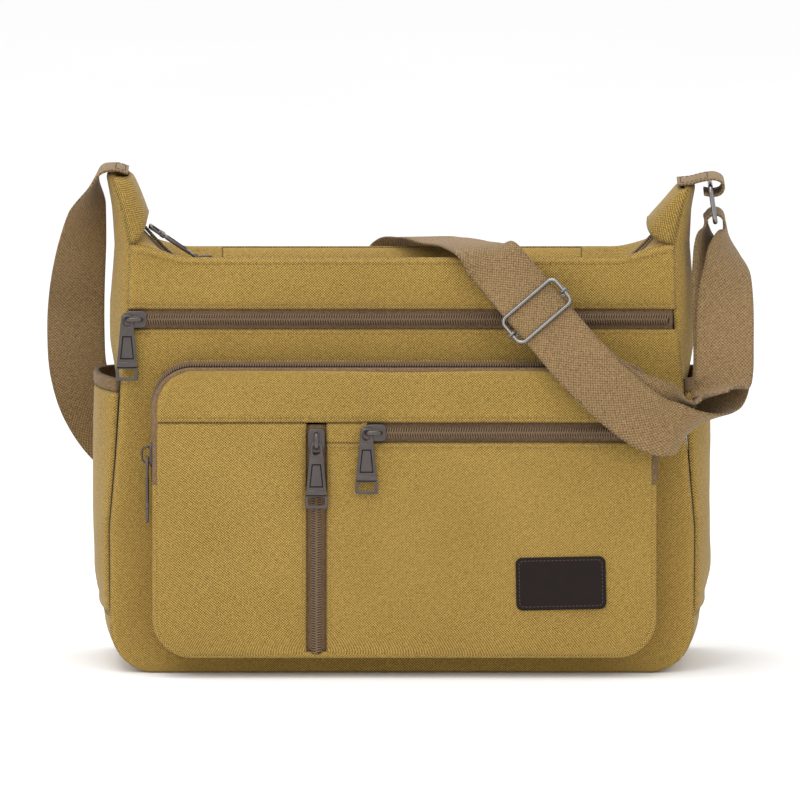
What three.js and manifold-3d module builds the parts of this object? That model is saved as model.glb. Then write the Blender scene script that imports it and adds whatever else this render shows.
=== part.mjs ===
// Canvas messenger bag: a shoulder bag with a zipped mouth, a zipped front panel, a raised patch pocket with
// three zips of its own, a slip pocket on each side and a webbing strap with a slide adjuster.
// Millimetres. X runs left to right as the bag is seen from the front, -Y faces the viewer, Z is up.
// The origin is the middle of the flat base.
import * as THREE from "three";
import { mergeVertices } from "three/addons/utils/BufferGeometryUtils.js";
import Module from "manifold-3d";

const wasm = await Module();
wasm.setup();

// Body
const BASE_HALF_DEPTH = 55;
const MOUTH_HALF_DEPTH = 28;
const PEAK_HALF_DEPTH = 19.5;
const MOUTH_HEIGHT = 258;
const TALLEST_PEAK = 306;
const CORNER_RADIUS = 28;
const FLAT_HALF_WIDTH = 153;
const SEAM_HEIGHT = 37;
const CORNER_RISE = 8;
const CANVAS = 2;
const THIN = 0.6;
const GAP = 0.3;
const LEAN = (BASE_HALF_DEPTH - MOUTH_HALF_DEPTH) / MOUTH_HEIGHT;
const TILT = Math.atan(LEAN);
// Half width of the front and back panels at the side seams, by height.
const SEAM = [
  [0, 181], [90, 181.5], [135, 177.5], [172, 175], [226, 170],
  [262, 169], [285, 174], [306, 181],
];
// How far the middle of a side panel and of the base's ends swells past the seams, by height.
const SWELL = [[0, 0], [37, 5.5], [52, 3], [68, 0], [165, 0], [200, 9], [226, 12], [262, 9.5], [306, 3]];

// Zips
const CHAIN_WIDTH = 6.2;
const CHAIN_DEPTH = 3;
const TAPE_DEPTH = 1;
const SLOT_WIDTH = 12.4;
const SLIDER = { length: 15, wide: 10.4, narrow: 7.6, arch: 9 };
const PULL = { length: 40, top: 3.7, bottom: 7.2, depth: 1.8 };
const PULL_STANDOFF = 5;
// A pull beside the bridge's foot hangs square to the chain. One in line with it hangs under the bridge.
const SQUARE = { along: -4.55, across: 2.1 };
const IN_LINE = -2;
const MOUTH_PULL_SLOPE = THREE.MathUtils.degToRad(34);

// Front zip, across the front panel
const FRONT_ZIP_HEIGHT = 219.5;
const FRONT_SLIDER_X = -166;

// Patch pocket on the front panel. Its wall narrows a little from the foot's rim to the face's rim. The seam
// that holds it to the panel is lower at the top, which leaves room for the front zip's pull to pass.
const POCKET_X = 1.5;
const FOOT_RIM = { halfWidth: 156, low: 11, high: 195, radius: 24 };
const FACE_RIM = { halfWidth: 154.4, low: 12, high: 188.5, radius: 23 };
const NECK_RIM = { halfWidth: 156, low: 11, high: 176.5, radius: 24 };
const NECK_DEPTH = 5.7;
const POCKET_WALL = 7.4;
const POCKET_CHANNEL = 19.3;
const POCKET_RIM = 21.3;
const POCKET_FACE = 23.6;
const POCKET_ZIP_END = 121;
const POCKET_SLIDER_HEIGHT = 136;
const YOKE_HEIGHT = 156;
const PANEL_ZIP_X = -53;
const PANEL_SLIDER_HEIGHT = 145;
const SLIP_ZIP_HEIGHT = 150;
const SLIP_ZIP_START = -24;
const SLIP_SLIDER_X = -17.4;
const PATCH = { x: 98.5, z: 56.7, width: 55.8, height: 32.8, radius: 4, tilt: -0.021 };

// Mouth
const MOUTH_ZIP_HEIGHT = 245.5;
const MOUTH_CLIMB = 32;
const LIP_HALF_WIDTH = 111.7;
const MOUTH_FLAT = 131;
const MOUTH_END = 162;
const MOUTH_SLIDER_X = -122;

// Side pockets
const SIDE_POCKET_X = 190.6;
const SIDE_MOUTH = 183;
const SIDE_MOUTH_DIP = 1.5;
const BINDING = 9;

// Lining: an open-topped sack inside the panels
const LINING = { low: 3.6, top: 226, wall: 0.8, inset: 3.4, frontInset: 7, backInset: 3.2 };

// Strap and its hardware
const WEBBING = { width: 36, depth: 1.7 };
const RING = { x: 191.5, z: 299, width: 44, height: 25, wire: 3, tilt: 0.14 };
const ADJUSTER = { length: 44.6, height: 22.5, wire: 2.4, along: 0.47 };
const BAR = { radius: 1.2, at: -1.5 };
const FOLD = THIN * 2 + GAP;
const TAIL = 20;

const COLOURS = {
  canvas: [0.62, 0.5, 0.23],
  webbing: [0.42, 0.33, 0.22],
  tape: [0.27, 0.18, 0.12],
  metal: [0.32, 0.3, 0.3],
  steel: [0.6, 0.6, 0.6],
  leather: [0.13, 0.09, 0.08],
  lining: [0.2, 0.18, 0.15],
};

const bag = new THREE.Group();
// The front and back panels lean inwards, so everything on them is laid out in a leaning frame of its own,
// with its origin at the panel's lower edge and its Y axis pointing into the panel.
const front = new THREE.Group();
front.position.y = -BASE_HALF_DEPTH;
front.rotation.x = -TILT;
const back = new THREE.Group();
back.position.y = BASE_HALF_DEPTH;
back.rotation.x = TILT;
bag.add(front, back);

// ---- Shapes -----------------------------------------------------------------------------------------

function lookUp(table, at) {
  const last = table.length - 1;
  if (at <= table[0][0]) return table[0][1];
  for (let i = 0; i < last; i += 1) {
    const [from, low] = table[i];
    const [to, high] = table[i + 1];
    if (at <= to) return low + ((high - low) * (at - from)) / (to - from);
  }
  return table[last][1];
}

const mix = (a, b, t) => a + (b - a) * t;

function smooth(t) {
  const c = Math.min(Math.max(t, 0), 1);
  return c * c * (3 - 2 * c);
}

function volume(geometry) {
  const at = geometry.attributes.position;
  const index = geometry.index;
  const [a, b, c] = [new THREE.Vector3(), new THREE.Vector3(), new THREE.Vector3()];
  let sum = 0;
  for (let i = 0; i < index.count; i += 3) {
    a.fromBufferAttribute(at, index.getX(i));
    b.fromBufferAttribute(at, index.getX(i + 1));
    c.fromBufferAttribute(at, index.getX(i + 2));
    sum += a.dot(b.cross(c));
  }
  return sum;
}

// Merges shared vertices and turns the faces outwards.
function weld(geometry) {
  geometry.deleteAttribute("normal");
  geometry.deleteAttribute("uv");
  const merged = mergeVertices(geometry, 1e-4);
  if (volume(merged) < 0) {
    const index = merged.index;
    for (let i = 0; i < index.count; i += 3) {
      const first = index.getX(i);
      index.setX(i, index.getX(i + 1));
      index.setX(i + 1, first);
    }
  }
  merged.computeVertexNormals();
  return merged;
}

// A sheet of cloth: a unit box whose vertices are placed by a function of along, across and through,
// each from 0 to 1.
function sheet(steps, rows, place) {
  const geometry = new THREE.BoxGeometry(1, 1, 1, steps, rows, 1);
  const at = geometry.attributes.position;
  for (let i = 0; i < at.count; i += 1) {
    const point = place(at.getX(i) + 0.5, at.getY(i) + 0.5, at.getZ(i) + 0.5);
    at.setXYZ(i, point[0], point[1], point[2]);
  }
  return weld(geometry);
}

function solid(geometry) {
  const welded = weld(geometry);
  const vertProperties = new Float32Array(welded.attributes.position.array);
  const triVerts = new Uint32Array(welded.index.array);
  return new wasm.Manifold(new wasm.Mesh({ numProp: 3, vertProperties, triVerts }));
}

function fromSolid(body) {
  const mesh = body.getMesh();
  const geometry = new THREE.BufferGeometry();
  geometry.setAttribute("position", new THREE.BufferAttribute(mesh.vertProperties, 3));
  geometry.setIndex(new THREE.BufferAttribute(mesh.triVerts, 1));
  geometry.computeVertexNormals();
  return geometry;
}

function join(...geometries) {
  return fromSolid(geometries.map(solid).reduce((whole, piece) => whole.add(piece)));
}

function cut(geometry, tool) {
  return fromSolid(solid(geometry).subtract(solid(tool)));
}

function box(x0, x1, y0, y1, z0, z1) {
  const geometry = new THREE.BoxGeometry(x1 - x0, y1 - y0, z1 - z0);
  geometry.translate((x0 + x1) / 2, (y0 + y1) / 2, (z0 + z1) / 2);
  return geometry;
}

// A flat outline in X and Z, extruded from the plane y = near to the plane y = far.
function plate(shape, near, far, bevel = 0) {
  const geometry = new THREE.ExtrudeGeometry(shape, {
    depth: far - near - 2 * bevel,
    bevelEnabled: bevel > 0,
    bevelThickness: bevel,
    bevelSize: bevel,
    bevelOffset: -bevel,
    bevelSegments: 1,
    curveSegments: 4,
  });
  geometry.rotateX(Math.PI / 2);
  geometry.translate(0, far - bevel, 0);
  return weld(geometry);
}

function roundedRectangle(path, x, z, halfWidth, halfHeight, radius) {
  const corners = [[1, -1, -90], [1, 1, 0], [-1, 1, 90], [-1, -1, 180]];
  for (const [sx, sz, start] of corners) {
    const cx = x + sx * (halfWidth - radius);
    const cz = z + sz * (halfHeight - radius);
    const from = THREE.MathUtils.degToRad(start);
    path.absarc(cx, cz, radius, from, from + Math.PI / 2, false);
  }
  return path;
}

function frameShape(halfWidth, halfHeight, radius, wall) {
  const shape = roundedRectangle(new THREE.Shape(), 0, 0, halfWidth, halfHeight, radius);
  const hole = new THREE.Path();
  shape.holes.push(roundedRectangle(hole, 0, 0, halfWidth - wall, halfHeight - wall, radius - wall));
  return shape;
}

function polygon(points) {
  return new THREE.Shape(points.map(([x, y]) => new THREE.Vector2(x, y)));
}

function add(name, geometry, finish, parent = bag) {
  const look = {
    canvas: [0.95, 0],
    webbing: [0.9, 0],
    tape: [0.8, 0],
    metal: [0.35, 0.9],
    steel: [0.25, 1],
    leather: [0.6, 0],
    lining: [0.9, 0],
  }[finish];
  const colour = new THREE.Color(...COLOURS[finish]);
  const material = new THREE.MeshStandardMaterial({ color: colour, roughness: look[0], metalness: look[1] });
  const mesh = new THREE.Mesh(geometry, material);
  mesh.name = name;
  parent.add(mesh);
  return mesh;
}

// ---- Body -------------------------------------------------------------------------------------------

function halfDepth(z) {
  if (z <= MOUTH_HEIGHT) return BASE_HALF_DEPTH - LEAN * z;
  const t = (z - MOUTH_HEIGHT) / (TALLEST_PEAK - MOUTH_HEIGHT);
  return mix(MOUTH_HALF_DEPTH, PEAK_HALF_DEPTH, t);
}

// Half width of the body's outline at a height, with the round corners of the base, drawn in by an inset.
function outline(z, inset = 0) {
  if (z >= CORNER_RADIUS) return lookUp(SEAM, z) - inset;
  const radius = CORNER_RADIUS - inset;
  const drop = CORNER_RADIUS - z;
  return FLAT_HALF_WIDTH + Math.sqrt(Math.max(radius * radius - drop * drop, 0));
}

// The panels' top edge is level over the mouth and rises a little to the side seams.
function topEdge(x) {
  return MOUTH_HEIGHT + CORNER_RISE * smooth((Math.abs(x) - MOUTH_FLAT) / 38);
}

function panel(low, high, inner) {
  const level = high < MOUTH_HEIGHT;
  return sheet(level ? 1 : 12, low > CORNER_RADIUS ? 3 : 11, (u, v, w) => {
    const span = 2 * u - 1;
    const height = low + (high - low) * v ** 1.7;
    const x = span * outline(height);
    const rise = level ? 0 : (topEdge(x) - high) * v;
    return [x, w * inner, height + rise];
  });
}

const slotLow = FRONT_ZIP_HEIGHT - SLOT_WIDTH / 2;
const slotHigh = FRONT_ZIP_HEIGHT + SLOT_WIDTH / 2;
add("front_panel_lower", panel(GAP, slotLow, CANVAS), "canvas", front);
add("front_panel_upper", panel(slotHigh, MOUTH_HEIGHT, CANVAS), "canvas", front);
add("back_panel", panel(GAP, MOUTH_HEIGHT, -CANVAS), "canvas", back);

// The base strip runs up round both bottom corners to the side panels.
function baseStrip() {
  const straight = SEAM_HEIGHT - CORNER_RADIUS;
  const arc = (Math.PI / 2) * CORNER_RADIUS;
  const stations = [FLAT_HALF_WIDTH];
  for (let i = 1; i <= 8; i += 1) stations.push(FLAT_HALF_WIDTH + (arc * i) / 8);
  stations.push(FLAT_HALF_WIDTH + arc + straight);
  const walk = [...stations.slice().reverse().map((s) => -s), ...stations];
  const seam = lookUp(SEAM, SEAM_HEIGHT);
  return sheet(walk.length - 1, 6, (u, v, w) => {
    const signed = walk[Math.round(u * (walk.length - 1))];
    const s = Math.abs(signed);
    const side = Math.sign(signed);
    const turn = Math.min(Math.max((s - FLAT_HALF_WIDTH) / CORNER_RADIUS, 0), Math.PI / 2);
    const radius = CORNER_RADIUS - w * CANVAS;
    const beyond = Math.max(s - FLAT_HALF_WIDTH - arc, 0);
    const level = turn > 0 ? CORNER_RADIUS - radius * Math.cos(turn) + beyond : w * CANVAS;
    const reach = turn > 0 ? FLAT_HALF_WIDTH + radius * Math.sin(turn) : s;
    const spread = (beyond / straight) * (seam - FLAT_HALF_WIDTH - CORNER_RADIUS);
    const span = 2 * v - 1;
    const swell = turn > 0 ? lookUp(SWELL, level) * (1 - span * span) : 0;
    return [side * (reach + spread + swell), span * (halfDepth(level) - CANVAS - GAP), level];
  });
}
add("bottom_panel", baseStrip(), "canvas");

// Outer surface of a side panel: its seams at the ends of the span, swelling between them.
function sideSurface(z, span) {
  return lookUp(SEAM, z) + lookUp(SWELL, z) * (1 - span * span);
}

function sidePanel(side, peak) {
  const low = SEAM_HEIGHT + GAP;
  return sheet(12, 6, (u, v, w) => {
    const z = mix(low, peak, u);
    const span = 2 * v - 1;
    const y = span * (halfDepth(z) - CANVAS - GAP);
    return [side * (sideSurface(z, span) - w * CANVAS), y, z];
  });
}

// A wing folds round from the front seam over the end of the mouth to the back seam, up to the strap's
// anchor.
function wing(side, peak, low, high) {
  const corner = 0.6;
  const foot = MOUTH_HEIGHT + CORNER_RISE + GAP;
  return sheet(14, 3, (u, v, w) => {
    const turn = Math.PI * u;
    const round = Math.sin(turn) ** corner;
    const across = Math.sign(Math.cos(turn)) * Math.abs(Math.cos(turn)) ** corner;
    const bottom = mix(foot + 0.4, low[1], Math.sin(turn));
    const z = mix(bottom, peak, v);
    const inner = mix(low[0], high[0], (z - low[1]) / (high[1] - low[1])) + w * CANVAS;
    const outer = lookUp(SEAM, z) - 0.5;
    return [side * mix(outer, inner, round), -across * (halfDepth(z) - w * CANVAS), z];
  });
}

const SIDES = [
  { name: "left", side: -1, peak: 306, low: [158, 282], high: [168, 306] },
  { name: "right", side: 1, peak: 299, low: [153.5, 278], high: [172, 299] },
];

// Height of the mouth's zip at a distance from the middle: level, then climbing to the wing.
function mouthLine(x) {
  const climb = Math.max((Math.abs(x) - MOUTH_FLAT) / 34, 0);
  return MOUTH_ZIP_HEIGHT - CHAIN_DEPTH / 2 - 0.4 + MOUTH_CLIMB * climb ** 1.3;
}

// Each end of the mouth is a scoop from the panels' top edges up to the zip between them.
function mouthEnd(side) {
  return sheet(8, 6, (u, v, w) => {
    const x = mix(LIP_HALF_WIDTH + GAP, MOUTH_END, u);
    const span = 2 * v - 1;
    const edge = topEdge(x) - 0.8;
    const y = span * (Math.min(halfDepth(edge), MOUTH_HALF_DEPTH - 0.2) - CANVAS - GAP);
    const z = mix(mouthLine(x) - 0.4, edge, Math.max(Math.abs(span) - 0.25, 0) / 0.75);
    return [side * x, y, z - w * 1.2];
  });
}

function mouthEndChain(side) {
  return sheet(8, 1, (u, v, w) => {
    const x = mix(LIP_HALF_WIDTH + GAP, MOUTH_END, u);
    return [side * x, (v - 0.5) * CHAIN_WIDTH, mouthLine(x) + 0.4 + w * CHAIN_DEPTH];
  });
}

// Slip pocket on a side panel: sewn along its sides and foot, standing off in the middle.
function sidePocketX(z, span, low) {
  const stand = Math.min(1, Math.sqrt(Math.max(z - low, 0) / 22));
  const stitched = lookUp(SEAM, z) + GAP + 1.5;
  const lying = sideSurface(z, span) + GAP + 1.5;
  return Math.max(lying, mix(stitched, SIDE_POCKET_X, stand * (1 - Math.abs(span) ** 2.5)));
}

function sidePocket(side, binding) {
  const foot = SEAM_HEIGHT + 0.5;
  const rows = binding ? 1 : 8;
  return sheet(rows, 8, (u, v, w) => {
    const span = 2 * v - 1;
    const mouth = SIDE_MOUTH - SIDE_MOUTH_DIP * span * span;
    const low = binding ? mouth - BINDING + GAP : foot;
    const high = binding ? mouth : mouth - BINDING;
    const z = mix(low, high, u);
    const thick = binding ? mix(0.7, -2.1, w) : -1.5 * w;
    const proud = binding ? 0.6 : 0;
    const x = sidePocketX(z, span, foot) + thick + proud;
    return [side * x, span * (halfDepth(z) - CANVAS - GAP), z];
  });
}

for (const { name, side, peak, low, high } of SIDES) {
  add(`side_panel_${name}`, sidePanel(side, peak), "canvas");
  add(`wing_${name}`, wing(side, peak, low, high), "canvas");
  add(`mouth_end_${name}`, mouthEnd(side), "canvas");
  add(`mouth_end_chain_${name}`, mouthEndChain(side), "metal");
  add(`side_pocket_${name}`, sidePocket(side, false), "canvas");
  add(`side_pocket_binding_${name}`, sidePocket(side, true), "tape");
}

function liningBlock(shrink, low, top) {
  return sheet(1, 12, (u, v, w) => {
    const z = low + (top - low) * v ** 1.7;
    const x = (2 * u - 1) * outline(z, LINING.inset + shrink);
    const nearY = -halfDepth(z) + LINING.frontInset + shrink;
    const farY = halfDepth(z) - LINING.backInset - shrink;
    return [x, mix(nearY, farY, w), z];
  });
}
const liningOuter = liningBlock(0, LINING.low, LINING.top);
const liningInner = liningBlock(LINING.wall, LINING.low + LINING.wall, LINING.top + 4);
add("lining", cut(liningOuter, liningInner), "lining");

// ---- Mouth lips: a canvas strip, a zip tape and a row of teeth on each side -------------------------

function lipSurface(distance) {
  const slope = (MOUTH_HEIGHT - 0.8 - mouthLine(0)) / (MOUTH_HALF_DEPTH - CANVAS - GAP - 3.6);
  return mouthLine(0) + slope * Math.max(distance - 3.6, 0);
}

function lipStrip(side, from, to, depth) {
  return sheet(1, 1, (u, v, w) => {
    const distance = mix(from, to, v);
    return [(2 * u - 1) * LIP_HALF_WIDTH, side * distance, lipSurface(distance) - w * depth];
  });
}

for (const [name, side] of [["front", -1], ["back", 1]]) {
  add(`mouth_lip_${name}`, lipStrip(side, 13, 24.2, 1.2), "canvas");
  add(`mouth_tape_${name}`, lipStrip(side, 3.5, 12.7, TAPE_DEPTH), "tape");
  const near = side * 0.15;
  const far = side * 3.1;
  const low = mouthLine(0) + 0.4;
  const row = box(
    -LIP_HALF_WIDTH, LIP_HALF_WIDTH, Math.min(near, far), Math.max(near, far), low, low + CHAIN_DEPTH,
  );
  add(`mouth_teeth_${name}`, weld(row), "metal");
}

// ---- Front zip and the pouch behind it --------------------------------------------------------------

function flatTape(x0, x1, z0, z1, face) {
  return weld(box(x0, x1, face + CANVAS + GAP, face + CANVAS + GAP + TAPE_DEPTH, z0, z1));
}

function flatChain(x0, x1, z0, z1, face) {
  return weld(box(x0, x1, face - 1, face - 1 + CHAIN_DEPTH, z0, z1));
}

const tapeHalf = 10.5;
const chainHalf = CHAIN_WIDTH / 2;
const frontTape = flatTape(-168, 168, FRONT_ZIP_HEIGHT - tapeHalf, FRONT_ZIP_HEIGHT + tapeHalf, 0);
const frontChain = flatChain(-166, 166, FRONT_ZIP_HEIGHT - chainHalf, FRONT_ZIP_HEIGHT + chainHalf, 0);
add("front_zip_tape", frontTape, "tape", front);
add("front_zip_chain", frontChain, "metal", front);

// A pouch of thin lining cloth folded once: two sheets joined along the fold.
function pouch(length, nearHeight, farHeight, depth) {
  const shape = polygon([
    [0, 0], [depth, 0], [depth, farHeight], [depth - THIN, farHeight],
    [depth - THIN, THIN], [THIN, THIN], [THIN, nearHeight], [0, nearHeight],
  ]);
  const geometry = new THREE.ExtrudeGeometry(shape, { depth: length, bevelEnabled: false });
  // The profile's X runs into the bag and its Y runs up from the fold.
  geometry.applyMatrix4(new THREE.Matrix4().set(0, 0, 1, -length / 2, 1, 0, 0, 0, 0, 1, 0, 0, 0, 0, 0, 1));
  return weld(geometry);
}

const frontPouch = add("front_pocket_pouch", pouch(300, 150, 170, 2.4), "lining", front);
frontPouch.position.set(0, CANVAS + GAP + TAPE_DEPTH + GAP, 60);

// ---- Patch pocket -----------------------------------------------------------------------------------

// Half a rim, walked from the middle of its foot up one side to the middle of its top, in five stretches.
function stretches(rim) {
  const across = rim.halfWidth - rim.radius;
  const corner = (Math.PI / 2) * rim.radius;
  return [across, corner, rim.high - rim.low - 2 * rim.radius, corner, across];
}
const WALK = stretches(FOOT_RIM);
const walkTo = (count) => WALK.slice(0, count).reduce((sum, length) => sum + length, 0);

// A point on a rim and the outward direction there, by the distance walked on the foot's rim.
function rimPoint(distance, rim) {
  const side = distance < 0 ? -1 : 1;
  let left = Math.abs(distance);
  let stretch = 0;
  while (stretch < 4 && left > WALK[stretch]) {
    left -= WALK[stretch];
    stretch += 1;
  }
  const t = Math.min(left / WALK[stretch], 1);
  const { halfWidth, low, high, radius } = rim;
  const across = halfWidth - radius;
  if (stretch === 0) return { x: side * across * t, z: low, nx: 0, nz: -1 };
  if (stretch === 2) return { x: side * halfWidth, z: mix(low + radius, high - radius, t), nx: side, nz: 0 };
  if (stretch === 4) return { x: side * across * (1 - t), z: high, nx: 0, nz: 1 };
  const turn = (Math.PI / 2) * (stretch === 1 ? t - 1 : t);
  const [nx, nz] = [Math.cos(turn), Math.sin(turn)];
  const centre = stretch === 1 ? low + radius : high - radius;
  return { x: side * (across + radius * nx), z: centre + radius * nz, nx: side * nx, nz };
}

// The rim of the pocket's wall at a depth, from the foot's rim near the panel to the face's rim.
function rimAt(depth) {
  const t = smooth((depth - 3) / (POCKET_FACE - 4));
  const rim = {};
  for (const key of Object.keys(FOOT_RIM)) rim[key] = mix(FOOT_RIM[key], FACE_RIM[key], t);
  return rim;
}

// Stations along the walk, close together on the corners, between two distances.
function pocketStations(from, to) {
  const stops = [from, to, 0, walkTo(5) / 2, walkTo(5)];
  for (let i = 0; i <= 6; i += 1) stops.push(walkTo(1) + (WALK[1] * i) / 6, walkTo(3) + (WALK[3] * i) / 6);
  const kept = stops.filter((s) => s >= from && s <= to);
  return [...new Set(kept.map((s) => Math.round(s * 1000) / 1000))].sort((a, b) => a - b);
}

const zipEndDistance = walkTo(2) + (POCKET_ZIP_END - FOOT_RIM.low - FOOT_RIM.radius);

// A band along the wall: the upper part runs over the top between the zip's ends, the lower part round the
// foot.
function pocketBand(upper, near, far, outset, thickness, trim = 0) {
  const half = upper
    ? pocketStations(zipEndDistance + trim, walkTo(5))
    : pocketStations(0, zipEndDistance - GAP - trim);
  const path = upper
    ? [...half, ...half.slice(0, -1).reverse().map((s) => -s)]
    : [...half.slice(1).reverse().map((s) => -s), ...half];
  const steps = path.length - 1;
  return sheet(steps, 3, (u, v, w) => {
    const depth = mix(near, far, v);
    const p = rimPoint(path[Math.round(u * steps)], rimAt(depth));
    const out = outset - w * thickness;
    return [POCKET_X + p.x + p.nx * out, -depth, p.z + p.nz * out];
  });
}

function rimPath(path, rim, outset) {
  const halfHeight = (rim.high - rim.low) / 2;
  return roundedRectangle(
    path, POCKET_X, rim.low + halfHeight, rim.halfWidth + outset, halfHeight + outset, rim.radius + outset,
  );
}

// A flat ring between two rims, from one depth to another.
function rimRing(outer, outset, inner, inset, near, far) {
  const shape = rimPath(new THREE.Shape(), outer, outset);
  shape.holes.push(rimPath(new THREE.Path(), inner, -inset));
  return plate(shape, -far, -near);
}

const neck = rimRing(NECK_RIM, 0, NECK_RIM, CANVAS, GAP, POCKET_WALL);
const flange = rimRing(FOOT_RIM, 0, NECK_RIM, CANVAS, NECK_DEPTH, POCKET_WALL);
add("pocket_wall", join(neck, flange), "canvas", front);
add("pocket_foot_gusset", pocketBand(false, POCKET_WALL + GAP, POCKET_CHANNEL, 0, CANVAS), "canvas", front);
add("pocket_zip_tape", pocketBand(true, POCKET_WALL + GAP, POCKET_CHANNEL, -2.8, TAPE_DEPTH), "tape", front);
const channelMiddle = (POCKET_WALL + GAP + POCKET_CHANNEL) / 2;
const chainBand = pocketBand(
  true, channelMiddle - chainHalf, channelMiddle + chainHalf, 0.4, 2.9, 1,
);
add("pocket_zip_chain", chainBand, "metal", front);
const piping = rimRing(FACE_RIM, 1.2, FACE_RIM, 2.4, POCKET_CHANNEL + GAP, POCKET_RIM);
add("pocket_piping", piping, "tape", front);

// The pocket's face is three pieces of canvas, parted by an upright zip and a level zip.
const faceNear = -POCKET_FACE;
const faceFar = -POCKET_RIM - GAP;
const slotHalf = SLOT_WIDTH / 2;
function facePiece(x0, x1, z0, z1, notch) {
  let piece = solid(plate(rimPath(new THREE.Shape(), FACE_RIM, 0), faceNear, faceFar));
  piece = piece.intersect(solid(box(x0, x1, faceNear - 1, faceFar + 1, z0, z1)));
  if (notch) piece = piece.subtract(solid(notch));
  return fromSolid(piece);
}
const beyondPocket = 200;
const levelNotch = box(
  SLIP_ZIP_START, beyondPocket, faceNear - 2, faceFar + 2, SLIP_ZIP_HEIGHT - slotHalf, beyondPocket,
);
const yoke = facePiece(-beyondPocket, beyondPocket, YOKE_HEIGHT + GAP, beyondPocket);
const faceLeft = facePiece(-beyondPocket, PANEL_ZIP_X - slotHalf, 0, YOKE_HEIGHT);
const faceRight = facePiece(PANEL_ZIP_X + slotHalf, beyondPocket, 0, YOKE_HEIGHT, levelNotch);
add("pocket_yoke", yoke, "canvas", front);
add("pocket_face_left", faceLeft, "canvas", front);
add("pocket_face_right", faceRight, "canvas", front);

const panelTapeLow = FACE_RIM.low + 3.6;
const panelTape = flatTape(PANEL_ZIP_X - 8, PANEL_ZIP_X + 8, panelTapeLow, YOKE_HEIGHT - 1, -POCKET_FACE);
const panelChain = flatChain(
  PANEL_ZIP_X - chainHalf, PANEL_ZIP_X + chainHalf, FACE_RIM.low + 2.4, YOKE_HEIGHT - 4, -POCKET_FACE,
);
const slipEnd = POCKET_X + FACE_RIM.halfWidth - 4;
const slipTape = flatTape(
  SLIP_ZIP_START - 4, slipEnd, SLIP_ZIP_HEIGHT - 8, SLIP_ZIP_HEIGHT + 8, -POCKET_FACE,
);
const slipChain = flatChain(
  SLIP_ZIP_START + 2, slipEnd, SLIP_ZIP_HEIGHT - chainHalf, SLIP_ZIP_HEIGHT + chainHalf, -POCKET_FACE,
);
add("panel_zip_tape", panelTape, "tape", front);
add("panel_zip_chain", panelChain, "metal", front);
add("slip_zip_tape", slipTape, "tape", front);
add("slip_zip_chain", slipChain, "metal", front);

const slipPouch = add("slip_zip_pouch", pouch(150, 95, 108, 2.4), "lining", front);
slipPouch.position.set(62, -POCKET_RIM + 2.2, 34);
// The upright zip's pouch opens sideways, so its fold stands upright at the left.
const panelPouch = add("panel_zip_pouch", pouch(124, 62, 74, 2.4), "lining", front);
panelPouch.rotation.y = Math.PI / 2;
panelPouch.position.set(-136, -POCKET_RIM + 2.2, 84);

const patchShape = roundedRectangle(
  new THREE.Shape(), 0, 0, PATCH.width / 2, PATCH.height / 2, PATCH.radius,
);
const patch = add("leather_patch", plate(patchShape, -1.4, 0), "leather", front);
patch.position.set(PATCH.x, -POCKET_FACE - GAP, PATCH.z);
patch.rotation.y = PATCH.tilt;

// ---- Zip sliders and pulls --------------------------------------------------------------------------

// The slider runs along X with its face towards -Y. Its channel straddles the chain, and its bridge carries
// the pull.
function sliderBody() {
  const half = SLIDER.length / 2;
  const face = polygon([
    [-half, -SLIDER.narrow / 2], [-half + 4, -SLIDER.wide / 2], [half - 1.5, -SLIDER.wide / 2],
    [half, -SLIDER.wide / 2 + 1.5], [half, SLIDER.wide / 2 - 1.5], [half - 1.5, SLIDER.wide / 2],
    [-half + 4, SLIDER.wide / 2], [-half, SLIDER.narrow / 2],
  ]);
  const cover = plate(face, -3.2, -1.7);
  const upper = box(-3, half - 1.5, -1.8, 0.9, SLIDER.wide / 2 - 1.3, SLIDER.wide / 2);
  const lower = box(-3, half - 1.5, -1.8, 0.9, -SLIDER.wide / 2, -SLIDER.wide / 2 + 1.3);
  const bridge = box(-5.6, 5.6, -SLIDER.arch, -3, -0.9, 0.9);
  const window = box(-3.5, 3.5, -SLIDER.arch + 1.4, -3.2, -2, 2);
  return join(cover, upper, lower, cut(bridge, window));
}

// The pull hangs down along -Z from its top bar at the origin: an eye, a tapering plate and an oblong hole.
function pullBody() {
  const tip = -PULL.length;
  const shape = polygon([
    [-PULL.top, 0.1], [-PULL.top + 1, 0.9], [PULL.top - 1, 0.9], [PULL.top, 0.1],
    [PULL.bottom, tip + 1.5], [PULL.bottom - 1.5, tip], [-PULL.bottom + 1.5, tip], [-PULL.bottom, tip + 1.5],
  ]);
  const eye = new THREE.Path([[-2.2, -6.4], [2.2, -6.4], [2.2, -0.9], [-2.2, -0.9]].map(
    ([x, z]) => new THREE.Vector2(x, z),
  ));
  const hole = roundedRectangle(new THREE.Path(), 0, tip + 5.2, 3.9, 1.9, 1);
  shape.holes.push(eye, hole);
  return plate(shape, -PULL.depth / 2, PULL.depth / 2);
}

const sliderGeometry = sliderBody();
const pullGeometry = pullBody();

// Zip on a face towards -Y, with its chain level: the pull hangs square to it.
function levelZip(name, x, z, face) {
  const slider = add(`${name}_slider`, sliderGeometry, "metal", front);
  slider.position.set(x, face + 0.5, z);
  const pull = add(`${name}_pull`, pullGeometry, "metal", front);
  pull.position.set(x + SQUARE.along, face + 0.5 - PULL_STANDOFF, z + SQUARE.across);
}

levelZip("front_zip", FRONT_SLIDER_X, FRONT_ZIP_HEIGHT, 0);
levelZip("slip_zip", SLIP_SLIDER_X, SLIP_ZIP_HEIGHT, -POCKET_FACE);

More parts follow.
